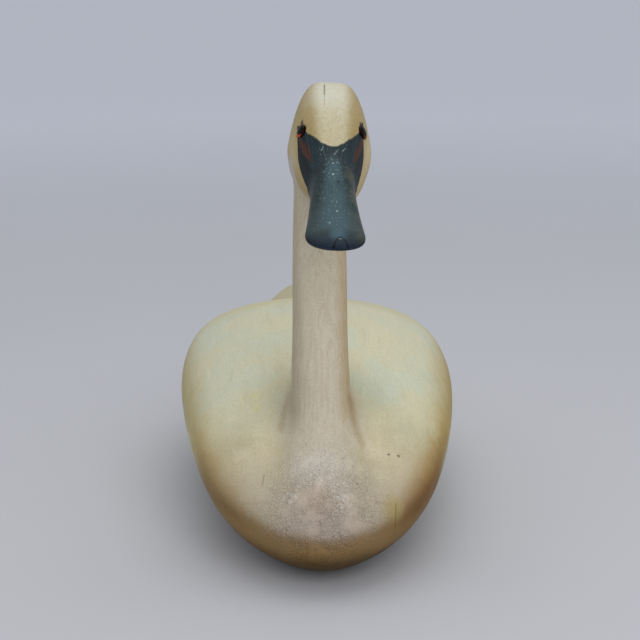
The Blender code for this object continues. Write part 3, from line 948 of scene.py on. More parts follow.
BREAST_MIDDLE = (0.0, -0.262, 0.072)
crackle_zone = paint.product(
    paint.spot(BREAST_MIDDLE, 0.086, soft=0.75), paint.step(mottled, 0.30, 0.52)
)
bent_noise = paint.add(
    "ShaderNodeTexNoise", [("Vector", paint.at), ("Scale", 220.0), ("Detail", 2.0)]
)
nudge = paint.vector("SUBTRACT", bent_noise.outputs["Color"], (0.5, 0.5, 0.5))
nudged = paint.vector("MULTIPLY_ADD", nudge, (0.005,) * 3, paint.at)
CELLS_PER_METRE = 400.0
cells = paint.add(
    "ShaderNodeTexVoronoi",
    [("Vector", nudged), ("Scale", CELLS_PER_METRE)],
    feature="DISTANCE_TO_EDGE",
)
crack_lines = paint.product(paint.step(cells.outputs[0], 0.16, 0.02), crackle_zone)
scales = paint.product(paint.step(cells.outputs[0], 0.0, 0.42), crackle_zone)
pit_cells = paint.add("ShaderNodeTexVoronoi", [("Vector", paint.at), ("Scale", 260.0)])
pits = paint.product(
    paint.step(pit_cells.outputs["Distance"], 0.24, 0.12),
    paint.step(pit_cells.outputs["Color"], 0.66, 0.70),
    crackle_zone,
)
# Whitish patches on the breast, partly chalk and partly painted sheen.
chalk_and_sheen_break = paint.step(paint.noise(paint.at, 330.0, detail=4.0, seed=5.0), 0.46, 0.60)
chalk_and_sheen_places = paint.any_of(
    paint.spot((-0.0279, -0.2542, 0.0826), 0.014, soft=0.9),
    paint.spot((0.0151, -0.2588, 0.0839), 0.021, soft=0.9),
    paint.product(paint.spot((-0.0184, -0.2413, 0.1072), 0.020, soft=0.9), 0.5),
)
chalk_and_sheen = paint.product(chalk_and_sheen_places, chalk_and_sheen_break)
cream = paint.blend(paint.product(crack_lines, 0.16), cream, CRACK_BROWN)
cream = paint.blend(paint.product(pits, 0.45), cream, PIT_BROWN)
cream = paint.blend(paint.product(chalk_and_sheen, 0.45), cream, CHALK_AND_SHEEN)
print("crackle cells per metre:", CELLS_PER_METRE)

# %% Put the single marks in place
STAIN_OCHRE = tone(176, 156, 86)
WORN_ORANGE = tone(190, 150, 112)
SPOT_YELLOW = tone(206, 196, 130)
# Painted shade in the creases where the neck meets the body.
CREASE_SHADE = tone(196, 170, 128)
RIDGE_BROWN = tone(150, 128, 98)
SPECK_DARK = tone(84, 78, 68)
SCRATCH_BROWN = tone(140, 112, 70)
CRACK_DARK = tone(112, 88, 52)

FROM_FRONT = (1, 0, 1)
FROM_ABOVE = (1, 1, 0)
stain = paint.product(paint.spot((0.0577, -0.2427, 0.0680), 0.018, soft=0.85), 0.5)
worn_orange = paint.product(paint.spot((-0.0038, -0.2605, 0.0870), 0.022, soft=0.9), 0.15)
yellow_spots = paint.any_of(
    paint.spot((-0.0588, -0.150, 0.1419), 0.008, soft=0.9),
    paint.spot((-0.0578, -0.1657, 0.1346), 0.007, soft=0.9),
)
specks = paint.any_of(
    paint.spot((0.0568, -0.2127, 0.1062), 0.0017, soft=0.6),
    paint.spot((0.0655, -0.2105, 0.1039), 0.0020, soft=0.6),
)
in_front = paint.step(paint.y, -0.15, -0.17)
breast_crack = paint.product(
    paint.stroke((0.0613, 0, 0.0716), (0.0601, 0, 0.0416), 0.0008, 0.0005, 0.8, FROM_FRONT),
    in_front,
)
breast_scratch = paint.product(
    paint.stroke((-0.0506, 0, 0.0945), (-0.0519, 0, 0.0872), 0.0011, 0.0006, 0.8, FROM_FRONT),
    in_front,
)
# Painted shade: dark strokes along the creases at the neck's foot.
foot_crease_shade = paint.product(
    paint.any_of(
        paint.stroke((0.0222, 0, 0.158), (0.0290, 0, 0.1270), 0.0030, 0.0050, 1.0, FROM_FRONT),
        paint.stroke((0.0290, 0, 0.1270), (0.0345, 0, 0.1150), 0.0050, 0.0040, 1.0, FROM_FRONT),
        paint.stroke((-0.0305, 0, 0.146), (-0.0362, 0, 0.1250), 0.0030, 0.0050, 1.0, FROM_FRONT),
    ),
    paint.step(paint.y, -0.165, -0.185),
)
ridge_line = paint.product(
    paint.any_of(
        paint.stroke((-0.1009, 0, 0.0640), (-0.0472, 0, 0.0765), 0.0030, 0.0016, 1.0, FROM_FRONT),
        paint.stroke((0.0334, 0, 0.0807), (0.0560, 0, 0.0728), 0.0016, 0.0024, 1.0, FROM_FRONT),
    ),
    in_front,
)
crown_crack = paint.product(
    paint.stroke((0.0021, -0.1830, 0), (0.0017, -0.1960, 0), 0.0007, 0.0006, 0.6, FROM_ABOVE),
    paint.step(paint.z, 0.38, 0.39),
)
crown_hair = paint.product(
    paint.stroke((0.0017, -0.1960, 0), (0.0015, -0.2080, 0), 0.0006, 0.0003, 0.8, FROM_ABOVE),
    paint.step(paint.z, 0.38, 0.39),
)
cream = paint.blend(stain, cream, STAIN_OCHRE)
cream = paint.blend(worn_orange, cream, WORN_ORANGE)
cream = paint.blend(paint.product(yellow_spots, 0.35), cream, SPOT_YELLOW)
cream = paint.multiply(paint.product(foot_crease_shade, 0.35), cream, CREASE_SHADE)
cream = paint.blend(paint.product(ridge_line, 0.15), cream, RIDGE_BROWN)
cream = paint.blend(paint.product(specks, 0.7), cream, SPECK_DARK)
cream = paint.blend(paint.product(breast_scratch, 0.5), cream, SCRATCH_BROWN)
cream = paint.blend(paint.product(breast_crack, 0.42), cream, CRACK_DARK)
print("single marks placed, nodes so far:", len(paint.tree.nodes))

# %% [markdown]
# ## Grain under the paint
#
# Thin old paint lets the wood tell through it: the grain runs along the body and down the face, and
# it holds the dirt in fine dark dashes. Noise that is squeezed across the grain and stretched along
# it gives both the tone and a little of the relief.

# %% Let the grain through
GRAIN_BROWN = tone(186, 164, 124)
FINE_BROWN = tone(190, 174, 142)

along_body = paint.vector("MULTIPLY", paint.at, (420.0, 30.0, 300.0))
body_grain = paint.noise(along_body, 1.0, detail=3.0, seed=4.0)
along_neck = paint.vector("MULTIPLY", paint.at, (420.0, 420.0, 26.0))
neck_grain = paint.noise(along_neck, 1.0, detail=3.0, seed=6.0)
upright = paint.math("MAXIMUM", on_neck, paint.product(on_head, 0.35))
grain = paint.add("ShaderNodeMix", [(0, upright), (2, body_grain), (3, neck_grain)]).outputs[0]
grain_share = paint.math("MULTIPLY_ADD", upright, 0.14, 0.05)
grain_dark = paint.step(grain, 0.62, 0.32)
fine_dark = paint.step(fine, 0.62, 0.34)
cream = paint.multiply(paint.product(grain_dark, grain_share), cream, GRAIN_BROWN)
cream = paint.multiply(paint.product(fine_dark, 0.24), cream, FINE_BROWN)
print("grain laid along body, neck and crown")

# %% [markdown]
# ## The head's paint
#
# The crown is one pale plane, with a painted highlight on its top, and darker, browner sides that are partly
# brown paint and partly painted shade. The slate of the bill runs up the face in a wide V to the eyes, and a
# tapered mahogany stripe, the lore, lies in it below each eye. Its border is a curve of `station` over
# `around`: at every angle round the head it says how far along the slate begins. A Float Curve holds such a
# line, and the hand's small tremor comes from noise.

# %% Draw the face
# Painted highlight on the top of the crown, cool as the sky.
CROWN_TOP_HIGHLIGHT = tone(203, 206, 192)
# Cheek tone: partly brown paint, partly painted shade.
CHEEK_BROWN_AND_SHADE = tone(184, 168, 130)
CHEEK_PALE = tone(206, 194, 168)
THROAT_PINK = tone(196, 182, 166)
JAW_GREY = tone(194, 191, 193)
BROW_GLAZE = tone(232, 222, 188)
CROWN_CRACK = tone(96, 86, 62)
HAIR_CRACK = tone(120, 106, 82)

HALF_TURN = 180.0
BILL_BORDER = (
    # degrees round the head from the crown, station where the slate begins
    (0, 6.05),
    (11, 6.02),
    (19, 5.94),
    (27, 5.86),
    (35, 5.70),
    (41, 5.61),
    (46, 5.49),
    (50, 5.38),
    (54, 5.20),
    (57, 4.92),
    (59, 4.74),
    (61, 4.66),
    (64, 4.90),
    (66, 5.08),
    (70, 5.30),
    (74, 5.50),
    (77, 6.00),
    (80, 6.40),
    (90, 7.00),
    (107, 7.20),
    (140, 7.50),
    (180, 7.60),
)
FACE_END = LAST_STATION + 1.0
RIGHT_LEAN = 4.0
LEFT_LEAN = 1.0
tremor = paint.math("MULTIPLY_ADD", paint.noise(paint.at, 160.0, seed=9.0), 0.12, -0.06)
degrees = paint.math("MULTIPLY", around, HALF_TURN)
lean_back = paint.math("MULTIPLY_ADD", to_left, RIGHT_LEAN + LEFT_LEAN, -RIGHT_LEAN)
leaning = paint.math("MULTIPLY_ADD", lean_back, paint.step(degrees, 52.0, 64.0), degrees)
border_at = paint.math("DIVIDE", leaning, HALF_TURN)
border = paint.curve(border_at, [(angle / HALF_TURN, at) for angle, at in BILL_BORDER], FACE_END)
past_border = paint.math("ADD", paint.math("SUBTRACT", station, border), tremor)
is_bill = paint.step(past_border, -0.03, 0.03)

# The sides of the crown and the cheeks are darker and browner: partly brown paint, partly painted shade.
crown_side = paint.product(paint.step(degrees, 20.0, 46.0), on_head)
# A painted highlight: the top of the crown is made paler and cooler.
crown_top_highlight = paint.product(paint.spot((0.004, -0.196, 0.414), 0.028, soft=0.9), on_head)
cheek = paint.product(paint.step(degrees, 60.0, 84.0), on_head)
grey_jaw = paint.product(paint.spot((-0.0240, -0.2100, 0.3480), 0.024, soft=0.8), on_head)
throat = paint.product(paint.step(degrees, 104.0, 130.0), on_head)
brow = paint.product(paint.step(station, 4.6, 5.9), on_head, 0.6)
CROWN_SIDE_BROWN_AND_SHADE = tone(212, 195, 156)
cream = paint.multiply(paint.product(crown_side, 0.95), cream, CROWN_SIDE_BROWN_AND_SHADE)
cream = paint.blend(paint.product(crown_top_highlight, 0.45), cream, CROWN_TOP_HIGHLIGHT)
cream = paint.blend(paint.product(cheek, 0.7), cream, CHEEK_BROWN_AND_SHADE)
cream = paint.blend(paint.product(cheek, to_left, 0.3), cream, CHEEK_PALE)
cream = paint.blend(paint.product(throat, 0.7), cream, THROAT_PINK)
cream = paint.blend(paint.product(grey_jaw, 0.75), cream, JAW_GREY)
cream = paint.multiply(brow, cream, BROW_GLAZE)
cream = paint.blend(paint.product(crown_crack, 0.6), cream, CROWN_CRACK)
cream = paint.blend(paint.product(crown_hair, 0.45), cream, HAIR_CRACK)
print("bill border points:", len(BILL_BORDER))

# %% Brush the bill
BILL_SLATE = tone(38, 55, 58)
BILL_DARK = tone(22, 33, 38)
# Painted sheen down the ridge of the bill.
RIDGE_SHEEN = tone(56, 78, 84)
BILL_BROAD = tone(56, 71, 72)
BILL_EDGE = tone(12, 15, 18)
BILL_OLIVE = tone(40, 46, 40)
BILL_WORN = tone(84, 82, 68)
BILL_MOSS = tone(92, 102, 78)
BILL_FRONT = tone(24, 35, 50)
FACE_PATCH = tone(14, 20, 23)
RIDGE_BLUE_SHEEN = tone(61, 87, 93)
# A painted highlight near the bill's tip.
TIP_SHEEN = tone(70, 102, 112)

stroke_at = paint.add("ShaderNodeCombineXYZ", [(0, paint.product(around, 90.0)), (1, station)])
strokes = paint.noise(stroke_at.outputs[0], 1.0, detail=4.0, seed=1.0)
speckle = paint.noise(paint.at, 900.0, detail=3.0, roughness=0.7, seed=7.0)
# A painted sheen runs down the bill's ridge, narrow by the face and wider towards the tip.
ridge_reach = paint.math("MULTIPLY_ADD", paint.step(station, 6.2, 9.6), 20.0, 24.0)
ridge = paint.product(
    paint.step(paint.math("DIVIDE", degrees, ridge_reach), 1.0, 0.1),
    paint.step(station, 6.2, 7.8),
    paint.step(station, 10.35, 9.9),
)
patchy_ridge_sheen = paint.product(ridge, paint.step(paint.math("ADD", strokes, mottled), 0.72, 1.08))
bill_side = paint.product(paint.step(degrees, 24.0, 50.0), paint.step(station, 6.8, 7.6))
bill_rim = paint.product(paint.step(degrees, 66.0, 82.0), paint.step(station, 7.2, 8.0))
bill_broad = paint.product(paint.step(station, 8.7, 9.5), paint.step(station, 10.3, 10.0))
moss_grain = paint.noise(paint.at, 380.0, detail=4.0, roughness=0.7, seed=12.0)
bill_mossy = paint.product(
    paint.step(moss_grain, 0.50, 0.62),
    paint.step(degrees, 10.0, 34.0),
    paint.step(station, 7.4, 8.6),
    paint.step(station, 10.4, 10.0),
)
bill_worn = paint.product(bill_side, to_left, paint.step(mottled, 0.42, 0.60))
face_patch = paint.product(paint.step(degrees, 50.0, 62.0), paint.step(station, 7.4, 6.6))
bill_front = paint.step(paint.math("MULTIPLY_ADD", mottled, 0.3, station), 10.35, 10.85)
# Painted highlight: a lighter teal spot by the nail.
tip_sheen = paint.product(paint.spot((0.0085, -0.3160, 0.3172), 0.010, soft=0.9), 0.7)
slate = paint.blend(paint.step(strokes, 0.35, 0.65), BILL_SLATE, BILL_DARK)
slate = paint.blend(paint.product(bill_side, paint.step(strokes, 0.38, 0.62), 0.7), slate, BILL_OLIVE)
slate = paint.blend(paint.product(bill_worn, 0.6), slate, BILL_WORN)
slate = paint.blend(paint.product(bill_mossy, 0.28), slate, BILL_MOSS)
slate = paint.blend(paint.product(bill_broad, 0.6), slate, BILL_BROAD)
slate = paint.blend(paint.product(ridge, 0.55), slate, RIDGE_SHEEN)
slate = paint.blend(paint.product(patchy_ridge_sheen, 0.8), slate, RIDGE_BLUE_SHEEN)
slate = paint.blend(paint.product(face_patch, 0.85), slate, FACE_PATCH)
slate = paint.blend(tip_sheen, slate, TIP_SHEEN)
slate = paint.blend(paint.product(bill_rim, 0.75), slate, BILL_EDGE)
slate = paint.blend(paint.product(bill_front, 0.95), slate, BILL_FRONT)
print("bill brushed, nodes so far:", len(paint.tree.nodes))

# %% Stripe the lores
LORE = tone(90, 50, 35)
LORE_DARK = tone(50, 30, 23)
LORE_SPAN = (5.0, 6.5)
LORE_MIDDLE = (
    (5.05, 63.0),
    (5.30, 62.5),
    (5.50, 60.0),
    (5.70, 56.8),
    (5.95, 53.2),
    (6.20, 51.5),
    (6.40, 51.0),
)
LORE_HALF = (
    (5.05, 1.5),
    (5.20, 2.6),
    (5.45, 4.2),
    (5.70, 5.9),
    (5.95, 4.9),
    (6.20, 2.8),
    (6.40, 0.0),
)


def lore_curve(pairs):
    """A curve over the stretch of stations that the lores take up, in degrees."""
    first, last = LORE_SPAN
    place_along = paint.math("DIVIDE", paint.math("SUBTRACT", station, first), last - first)
    shares = [((at - first) / (last - first), value) for at, value in pairs]
    return paint.curve(place_along, [(0.0, pairs[0][1]), *shares, (1.0, pairs[-1][1])], HALF_TURN)


lore_at = paint.math("MULTIPLY", paint.math("ADD", degrees, leaning), 0.5)
off_lore = paint.math("ABSOLUTE", paint.math("SUBTRACT", lore_at, lore_curve(LORE_MIDDLE)))
inside_lore = paint.math("SUBTRACT", lore_curve(LORE_HALF), off_lore)
is_lore = paint.product(
    paint.step(inside_lore, -0.7, 2.4),
    paint.step(station, LORE_SPAN[0], LORE_SPAN[0] + 0.1),
    paint.step(station, LORE_SPAN[1], LORE_SPAN[1] - 0.1),
)
lore_tone = paint.blend(paint.step(strokes, 0.35, 0.62), LORE, LORE_DARK)
slate = paint.blend(paint.product(is_lore, 0.95), slate, lore_tone)
print("lore stations:", LORE_SPAN)

# %% Wear the bill
SPECKLE_PALE = tone(92, 112, 116)
DUST_PALE = tone(150, 170, 172)
SCRATCH_PALE = tone(150, 162, 164)
WORN_PALE = tone(180, 196, 196)
SPOT_DARK = tone(14, 16, 20)

dust_masks = []
for cells_per_metre, kept, size in ((640.0, 0.50, 0.30), (300.0, 0.60, 0.20)):
    dust_cells = paint.add(
        "ShaderNodeTexVoronoi", [("Vector", paint.at), ("Scale", cells_per_metre)]
    )
    dust_masks.append(
        paint.product(
            paint.step(dust_cells.outputs["Distance"], size, size * 0.4),
            paint.step(dust_cells.outputs["Color"], kept, kept + 0.03),
        )
    )
dust = paint.product(
    paint.any_of(*dust_masks),
    paint.step(degrees, 52.0, 12.0),
    paint.step(mottled, 0.38, 0.56),
    paint.step(station, 10.3, 9.6),
)
worn_specks = paint.any_of(
    paint.spot((0.0064, -0.2639, 0.3566), 0.0011),
    paint.spot((0.0068, -0.2546, 0.3641), 0.0008),
    paint.spot((0.0025, -0.3056, 0.3252), 0.0008),
    paint.spot((0.0084, -0.2955, 0.3324), 0.0009),
)
scratches = paint.any_of(
    paint.stroke((-0.0021, -0.2409, 0), (-0.0005, -0.2388, 0), 0.0006, 0.0005, 0.6, FROM_ABOVE),
    paint.stroke((0.0078, -0.2462, 0), (0.0116, -0.2408, 0), 0.0005, 0.0003, 0.6, FROM_ABOVE),
    paint.stroke((0.0148, -0.2414, 0), (0.0170, -0.2381, 0), 0.0005, 0.0003, 0.6, FROM_ABOVE),
)
scratches = paint.product(scratches, paint.step(speckle, 0.34, 0.50))
dark_spot = paint.spot((0.0105, -0.2698, 0.3515), 0.0014)
slate = paint.blend(paint.product(paint.step(speckle, 0.54, 0.70), 0.25), slate, SPECKLE_PALE)
slate = paint.blend(paint.product(dust, 0.75), slate, DUST_PALE)
slate = paint.blend(paint.product(scratches, 0.6), slate, SCRATCH_PALE)
slate = paint.blend(paint.product(worn_specks, 0.7), slate, WORN_PALE)
slate = paint.blend(paint.product(dark_spot, 0.8), slate, SPOT_DARK)
print("bill worn")

# %% Line the nail, and paint a glint along the mouth
NAIL_BLUE = tone(32, 44, 54)
NAIL_LINE = tone(8, 9, 12)
CHIP_PALE = tone(122, 134, 128)
# A thin painted glint along the mouth's edge.
MOUTH_GLINT = tone(104, 110, 108)

nail = paint.ruler("nail")
nail_line = paint.step(paint.math("ABSOLUTE", nail), 0.00075, 0.0003)
nail_inside = paint.step(nail, 0.0, -0.0008)
nail_chip = paint.product(
    paint.stroke((0.0082, -0.3190, 0), (0.0122, -0.3188, 0), 0.0013, 0.0010, 0.5, FROM_ABOVE),
    paint.step(speckle, 0.38, 0.50),
    paint.step(nail, -0.0002, -0.0006),
)
# Painted glint: a pale line along the edge of the mouth.
mouth_glint = paint.product(
    paint.step(paint.math("ABSOLUTE", paint.math("SUBTRACT", degrees, 96.0)), 3.0, 1.0),
    paint.step(station, 8.6, 9.6),
    paint.step(mottled, 0.40, 0.55),
)
slate = paint.blend(paint.product(nail_inside, 0.6), slate, NAIL_BLUE)
slate = paint.blend(paint.product(nail_line, 0.9), slate, NAIL_LINE)
slate = paint.blend(paint.product(nail_chip, 0.7), slate, CHIP_PALE)
slate = paint.blend(paint.product(mouth_glint, 0.5), slate, MOUTH_GLINT)
print("nail and mouth lined")

# %% Rim the eyes
RIM_BROWN = tone(46, 34, 28)
CORNER_BROWN = tone(58, 40, 32)
RIM_SLATE = tone(12, 13, 16)

EYE_RIM = 0.6 * MM
EYE_DIAMETER = 11.4 * MM
EYE_PROUD = 2.2 * MM
EYE_DEPTH = 3.5 * MM
EYE_AT = {"left": (4.97, math.radians(118), 0.15), "right": (5.06, math.radians(240.6), 0.35)}


def eye_place(eye_station, eye_angle, aside):
    """The point of the head's skin under an eye's middle, and the way that the eye looks."""

    def skin(station_off, angle_off):
        point = head_skin(eye_station + station_off, np.array([eye_angle + angle_off]))
        return set_aside(point, 1.0)[0]

    around_eye = skin(0, 0.15) - skin(0, -0.15)
    ahead = skin(0.3, 0) - skin(-0.3, 0)
    way = np.cross(around_eye, ahead)
    way /= np.linalg.norm(way)
    way[0] += aside * np.sign(way[0])
    return Vector(skin(0, 0)), Vector(way / np.linalg.norm(way))


eye_places = {side: eye_place(*at) for side, at in EYE_AT.items()}
eye_rims = []
for side, (middle, way) in eye_places.items():
    low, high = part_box(f"eye_{side}")
    eye_rims.append(paint.spot(middle, EYE_DIAMETER / 2 + EYE_RIM, soft=0.05))
    off_middle = ((low + high) / 2 - middle).length
    print(side, "eye off its CAD box's middle, mm:", round(off_middle / MM, 1))
CORNER_WIDE = 0.0030
CORNER_NARROW = 0.0009
eye_corners = paint.any_of(
    paint.stroke((-0.0165, -0.2100, 0.3890), (-0.0165, -0.2072, 0.3930), CORNER_WIDE, CORNER_NARROW, 0.4),
    paint.stroke((0.0312, -0.2085, 0.3880), (0.0304, -0.2068, 0.3910), CORNER_WIDE, CORNER_NARROW, 0.4),
)
is_rim = paint.any_of(*eye_rims)
cream = paint.blend(paint.product(is_rim, 0.8), cream, RIM_BROWN)
cream = paint.blend(paint.product(eye_corners, 0.85), cream, CORNER_BROWN)
slate = paint.blend(is_rim, slate, RIM_SLATE)

# %% [markdown]
# ## Putting the paint together
#
# The bill's share decides between the two paints, for tone and for sheen: the slate is an oil paint
# with a satin gleam, the cream is duller and dullest where it has gone chalky. All small relief is
# summed in metres, so that a crack is as deep as it says.

# %% Finish the swan's paint
swan_tone = paint.blend(is_bill, cream, slate)
cream_gloss = paint.math("MULTIPLY_ADD", mottled, 0.22, 0.40)
cream_gloss = paint.math("ADD", cream_gloss, paint.product(chalk_and_sheen, 0.25))
cream_gloss = paint.math("ADD", cream_gloss, paint.product(crackle_zone, -0.18))
slate_gloss = paint.math("MULTIPLY_ADD", speckle, 0.30, 0.26)
gloss_mix = paint.add("ShaderNodeMix", [(0, is_bill), (2, cream_gloss), (3, slate_gloss)])

RELIEF = (
    # what stands up or is cut, and how far in metres
    (fine, 0.00008),
    (grain, 0.00008),
    (mottled, 0.00025),
    (crack_lines, -0.00022),
    (scales, 0.00060),
    (pits, -0.00025),
    (chalk_and_sheen, 0.00010),
    (specks, -0.0003),
    (breast_crack, -0.0004),
    (crown_crack, -0.0006),
    (paint.product(strokes, is_bill), 0.00015),
    (is_bill, 0.00008),
)
relief_height = 0.0
for shape, tall in RELIEF:
    relief_height = paint.math("MULTIPLY_ADD", shape, tall, relief_height)
paint.finish(swan_tone, gloss_mix.outputs[0], relief_height)
print("paint nodes:", len(paint.tree.nodes))

# %% [markdown]
# ## Sockets and the finished skin
#
# A glass eye is set in a drilled socket. Two short drills are taken out of the skin with Boolean
# modifiers, as they are in the CAD solid. Then the evaluated object is turned into a plain mesh:
# knife marks, sockets and paint in one piece, at the origin, with no modifier left.

# %% Drill the sockets and settle the skin
SOCKET_ROOM = 0.08 * MM
MARK_DEPTH = 0.5 * MM
MARKS_PER_METRE = 26.0
MARK_SEED = 1.0
SHARP_ANGLE = math.radians(50)
RULERS = ("station", "around", "nail")


def settle(rough, name):
    """A plain mesh object of what the modifiers make, in place of the object that had them."""
    graph = bpy.context.evaluated_depsgraph_get()
    mesh = bpy.data.meshes.new_from_object(rough.evaluated_get(graph), depsgraph=graph)
    bpy.data.objects.remove(rough)
    settled = bpy.data.objects.new(name, mesh)
    bpy.context.scene.collection.objects.link(settled)
    return settled


def mend_rulers(mesh, names):
    """Gives the points that a cut has made the numbers of their nearest neighbours."""
    count = len(mesh.vertices)
    places = np.zeros(count * 3)
    mesh.vertices.foreach_get("co", places)
    places = places.reshape(-1, 3)
    values = {name: np.zeros(count) for name in names}
    for name in names:
        mesh.attributes[name].data.foreach_get("value", values[name])
    empty = np.all([values[name] == 0 for name in names], axis=0)
    known = np.flatnonzero(~empty)
    for point in np.flatnonzero(empty):
        nearest = known[np.argmin(np.sum((places[known] - places[point]) ** 2, axis=1))]
        for name in names:
            values[name][point] = values[name][nearest]
    for name in names:
        mesh.attributes[name].data.foreach_set("value", values[name])
    return int(empty.sum())


def drill(side):
    """A short round cutter standing in an eye's socket."""
    middle, way = eye_places[side]
    turn_eye = way.to_track_quat("Z", "Y").to_matrix()
    radius = EYE_DIAMETER / 2 + SOCKET_ROOM
    circle = [(math.cos(t) * radius, math.sin(t) * radius) for t in turn[:: ROUND // 64]]
    corners = [Vector((x, y, z)) for z in (-EYE_DEPTH, EYE_DIAMETER) for x, y in circle]
    count = len(circle)
    sides = [(i, (i + 1) % count, count + (i + 1) % count, count + i) for i in range(count)]
    mesh = bpy.data.meshes.new(f"drill_{side}")
    ends = [tuple(range(count))[::-1], tuple(range(count, 2 * count))]
    mesh.from_pydata([middle + turn_eye @ corner for corner in corners], [], ends + sides)
    return bpy.data.objects.new(f"drill_{side}", mesh)


run_tree(
    swan_skin,
    marks,
    depth=MARK_DEPTH,
    swells_per_metre=MARKS_PER_METRE,
    seed=MARK_SEED,
    finish=paint.material,
)
drills = [drill(side) for side in EYE_AT]
for cutter in drills:
    bpy.context.scene.collection.objects.link(cutter)
    socket = swan_skin.modifiers.new(cutter.name, "BOOLEAN")
    socket.operation = "DIFFERENCE"
    socket.object = cutter
swan_skin.name = "rough_skin"
painted_swan = settle(swan_skin, "painted_swan")
for cutter in drills:
    bpy.data.objects.remove(cutter)
painted_swan.data.set_sharp_from_angle(angle=SHARP_ANGLE)
painted_swan.data.calc_loop_triangles()
print("triangles of the skin:", len(painted_swan.data.loop_triangles))
print("points mended at the sockets:", mend_rulers(painted_swan.data, RULERS))

# %% [markdown]
# ## The glass eyes
#
# A taxidermist's eye is a button of clear glass with its back painted: a black pupil in an amber
# iris. Both eyes come from one Geometry Nodes tree with named inputs, once as the glass and once as
# the painted iris sealed behind it. A ball is squeezed to the dome's height in front and to the
# button's depth behind, and then stood in its socket.

# %% Grow the eyes from one tree
EYE_ROUND = 64
EYE_RINGS = 48
eyes, eyes_in, eyes_out = new_tree(
    "glass_eye",
    [("Radius", "Float"), ("Front", "Float"), ("Behind", "Float"), ("Place", "Vector")]
    + [("Turn", "Rotation"), ("Finish", "Material")],
)
ball = eyes.add(
    "GeometryNodeMeshUVSphere", [("Segments", EYE_ROUND), ("Rings", EYE_RINGS), ("Radius", 1.0)]
)
ball_at = eyes.add("GeometryNodeInputPosition").outputs[0]
ball_x, ball_y, ball_z = eyes.add("ShaderNodeSeparateXYZ", [(0, ball_at)]).outputs
in_front = eyes.math("MULTIPLY", eyes.math("MAXIMUM", ball_z, 0.0), eyes_in.outputs["Front"])
at_back = eyes.math("MULTIPLY", eyes.math("MINIMUM", ball_z, 0.0), eyes_in.outputs["Behind"])
squeezed = eyes.add(
    "ShaderNodeCombineXYZ",
    [
        (0, eyes.math("MULTIPLY", ball_x, eyes_in.outputs["Radius"])),
        (1, eyes.math("MULTIPLY", ball_y, eyes_in.outputs["Radius"])),
        (2, eyes.math("ADD", in_front, at_back)),
    ],
)
button = eyes.add(
    "GeometryNodeSetPosition", [("Geometry", ball.outputs[0]), ("Position", squeezed.outputs[0])]
)
flat_place = eyes.vector("MULTIPLY", ball_at, (1.0, 1.0, 0.0))
off_axis = eyes.vector("LENGTH", flat_place, output="Value")
from_middle = eyes.math("DIVIDE", off_axis, eyes_in.outputs["Radius"])
measured = eyes.add(
    "GeometryNodeStoreNamedAttribute",
    [("Geometry", button.outputs[0]), ("Name", "from_middle"), ("Value", from_middle)],
)
standing = eyes.add(
    "GeometryNodeTransform",
    [
        ("Geometry", measured.outputs[0]),
        ("Translation", eyes_in.outputs["Place"]),
        ("Rotation", eyes_in.outputs["Turn"]),
    ],
)
eye_real = eyes.add("GeometryNodeRealizeInstances", [("Geometry", standing.outputs[0])])
eye_smooth = eyes.add("GeometryNodeSetShadeSmooth", [("Geometry", eye_real.outputs[0])])
eye_done = eyes.add(
    "GeometryNodeSetMaterial",
    [("Geometry", eye_smooth.outputs[0]), ("Material", eyes_in.outputs["Finish"])],
)
eyes.feed(eyes_out.inputs[0], eye_done.outputs[0])
print("eye tree has", len(eyes.tree.nodes), "nodes")

# %% Paint the iris and pour the glass
AMBER = tone(250, 128, 30)
AMBER_DEEP = tone(214, 84, 16)
PUPIL = tone(6, 5, 6)
IRIS_DARK = tone(30, 15, 10)
GLASS_CLEAR = tone(255, 246, 232)
GLASS_WARM = tone(255, 240, 220)
EYE_IOR = 1.2

iris = PaintBench("iris_paint", 0.0)
from_middle_at = iris.ruler("from_middle")
streaks = iris.noise(iris.at, 900.0, detail=2.0)
# Amber shows only low in each eye: a painted caustic, the light that the glass gathers on the lower side of
# the iris, stronger in the right eye.
amber_caustic = 0.0
for (middle, _), caustic_strength in zip(eye_places.values(), (0.25, 1.0)):
    near = iris.spot(middle, EYE_DIAMETER, soft=0.2)
    low_caustic = iris.step(iris.z, middle.z - 1.2 * MM, middle.z - 4.0 * MM)
    amber_caustic = iris.math("MAXIMUM", iris.product(near, low_caustic, caustic_strength), amber_caustic)
iris_tone = iris.blend(iris.step(streaks, 0.35, 0.65), AMBER, AMBER_DEEP)
iris_tone = iris.blend(amber_caustic, IRIS_DARK, iris_tone)
iris_tone = iris.blend(iris.step(from_middle_at, 0.90, 0.99), iris_tone, IRIS_DARK)
iris_tone = iris.blend(iris.step(from_middle_at, 0.66, 0.58), iris_tone, PUPIL)
iris.finish(iris_tone, 0.6, iris.math("MULTIPLY", streaks, 0.00001))

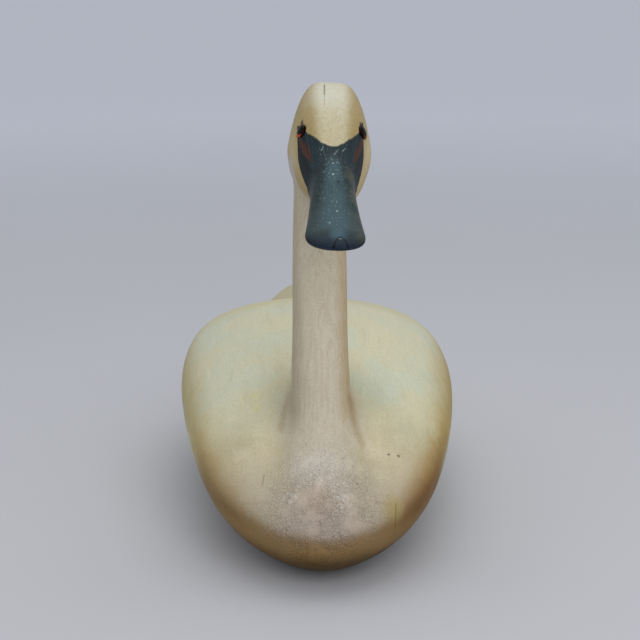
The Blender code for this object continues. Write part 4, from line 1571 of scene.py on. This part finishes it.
GLASS_GLEAM = 0.5
glass = PaintBench("clear_eye_glass", GLASS_GLEAM)
glass_noise = glass.noise(glass.at, 260.0, detail=2.0)
glass_tint = glass.blend(glass_noise, GLASS_CLEAR, GLASS_WARM)
glass.finish(glass_tint, 0.02, glass.math("MULTIPLY", glass_noise, 0.000001))
glass.shader.inputs["Transmission Weight"].default_value = 1.0
glass.shader.inputs["IOR"].default_value = EYE_IOR
print("eye finishes:", iris.material.name, glass.material.name)

# %% Set the eyes
GLASS_WALL = 0.25 * MM


def grow_eye(name, side, radius, front, behind, finish):
    """One squeezed ball from the eye tree, standing in its socket."""
    middle, way = eye_places[side]
    seed_mesh = bpy.data.meshes.new(name)
    rough = bpy.data.objects.new(f"rough_{name}", seed_mesh)
    bpy.context.scene.collection.objects.link(rough)
    lean = way.to_track_quat("Z", "Y").to_euler()
    run_tree(
        rough,
        eyes,
        radius=radius,
        front=front,
        behind=behind,
        place=middle,
        turn=lean,
        finish=finish,
    )
    return settle(rough, name)


eye_pieces = []
for side in EYE_AT:
    lens = grow_eye(
        f"eye_glass_{side}", side, EYE_DIAMETER / 2, EYE_PROUD, EYE_DEPTH, glass.material
    )
    painted = grow_eye(
        f"eye_iris_{side}",
        side,
        EYE_DIAMETER / 2 - GLASS_WALL,
        EYE_PROUD - GLASS_WALL,
        EYE_DEPTH - GLASS_WALL,
        iris.material,
    )
    eye_pieces.append((side, lens, painted))
    print(side, "eye points:", len(lens.data.vertices), len(painted.data.vertices))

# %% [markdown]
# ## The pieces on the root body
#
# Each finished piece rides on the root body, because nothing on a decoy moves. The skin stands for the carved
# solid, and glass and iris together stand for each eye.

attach(painted_swan, "root")
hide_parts("carved_swan")
for side, lens, painted in eye_pieces:
    for piece in (lens, painted):
        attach(piece, "root")
        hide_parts(f"eye_{side}")
print("pieces:", painted_swan.name, [lens.name for _, lens, _ in eye_pieces])

# %% Measure the visual box
bpy.context.view_layer.update()
low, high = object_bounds()
print("visual box, mm:", [round(side / MM, 1) for side in high - low])
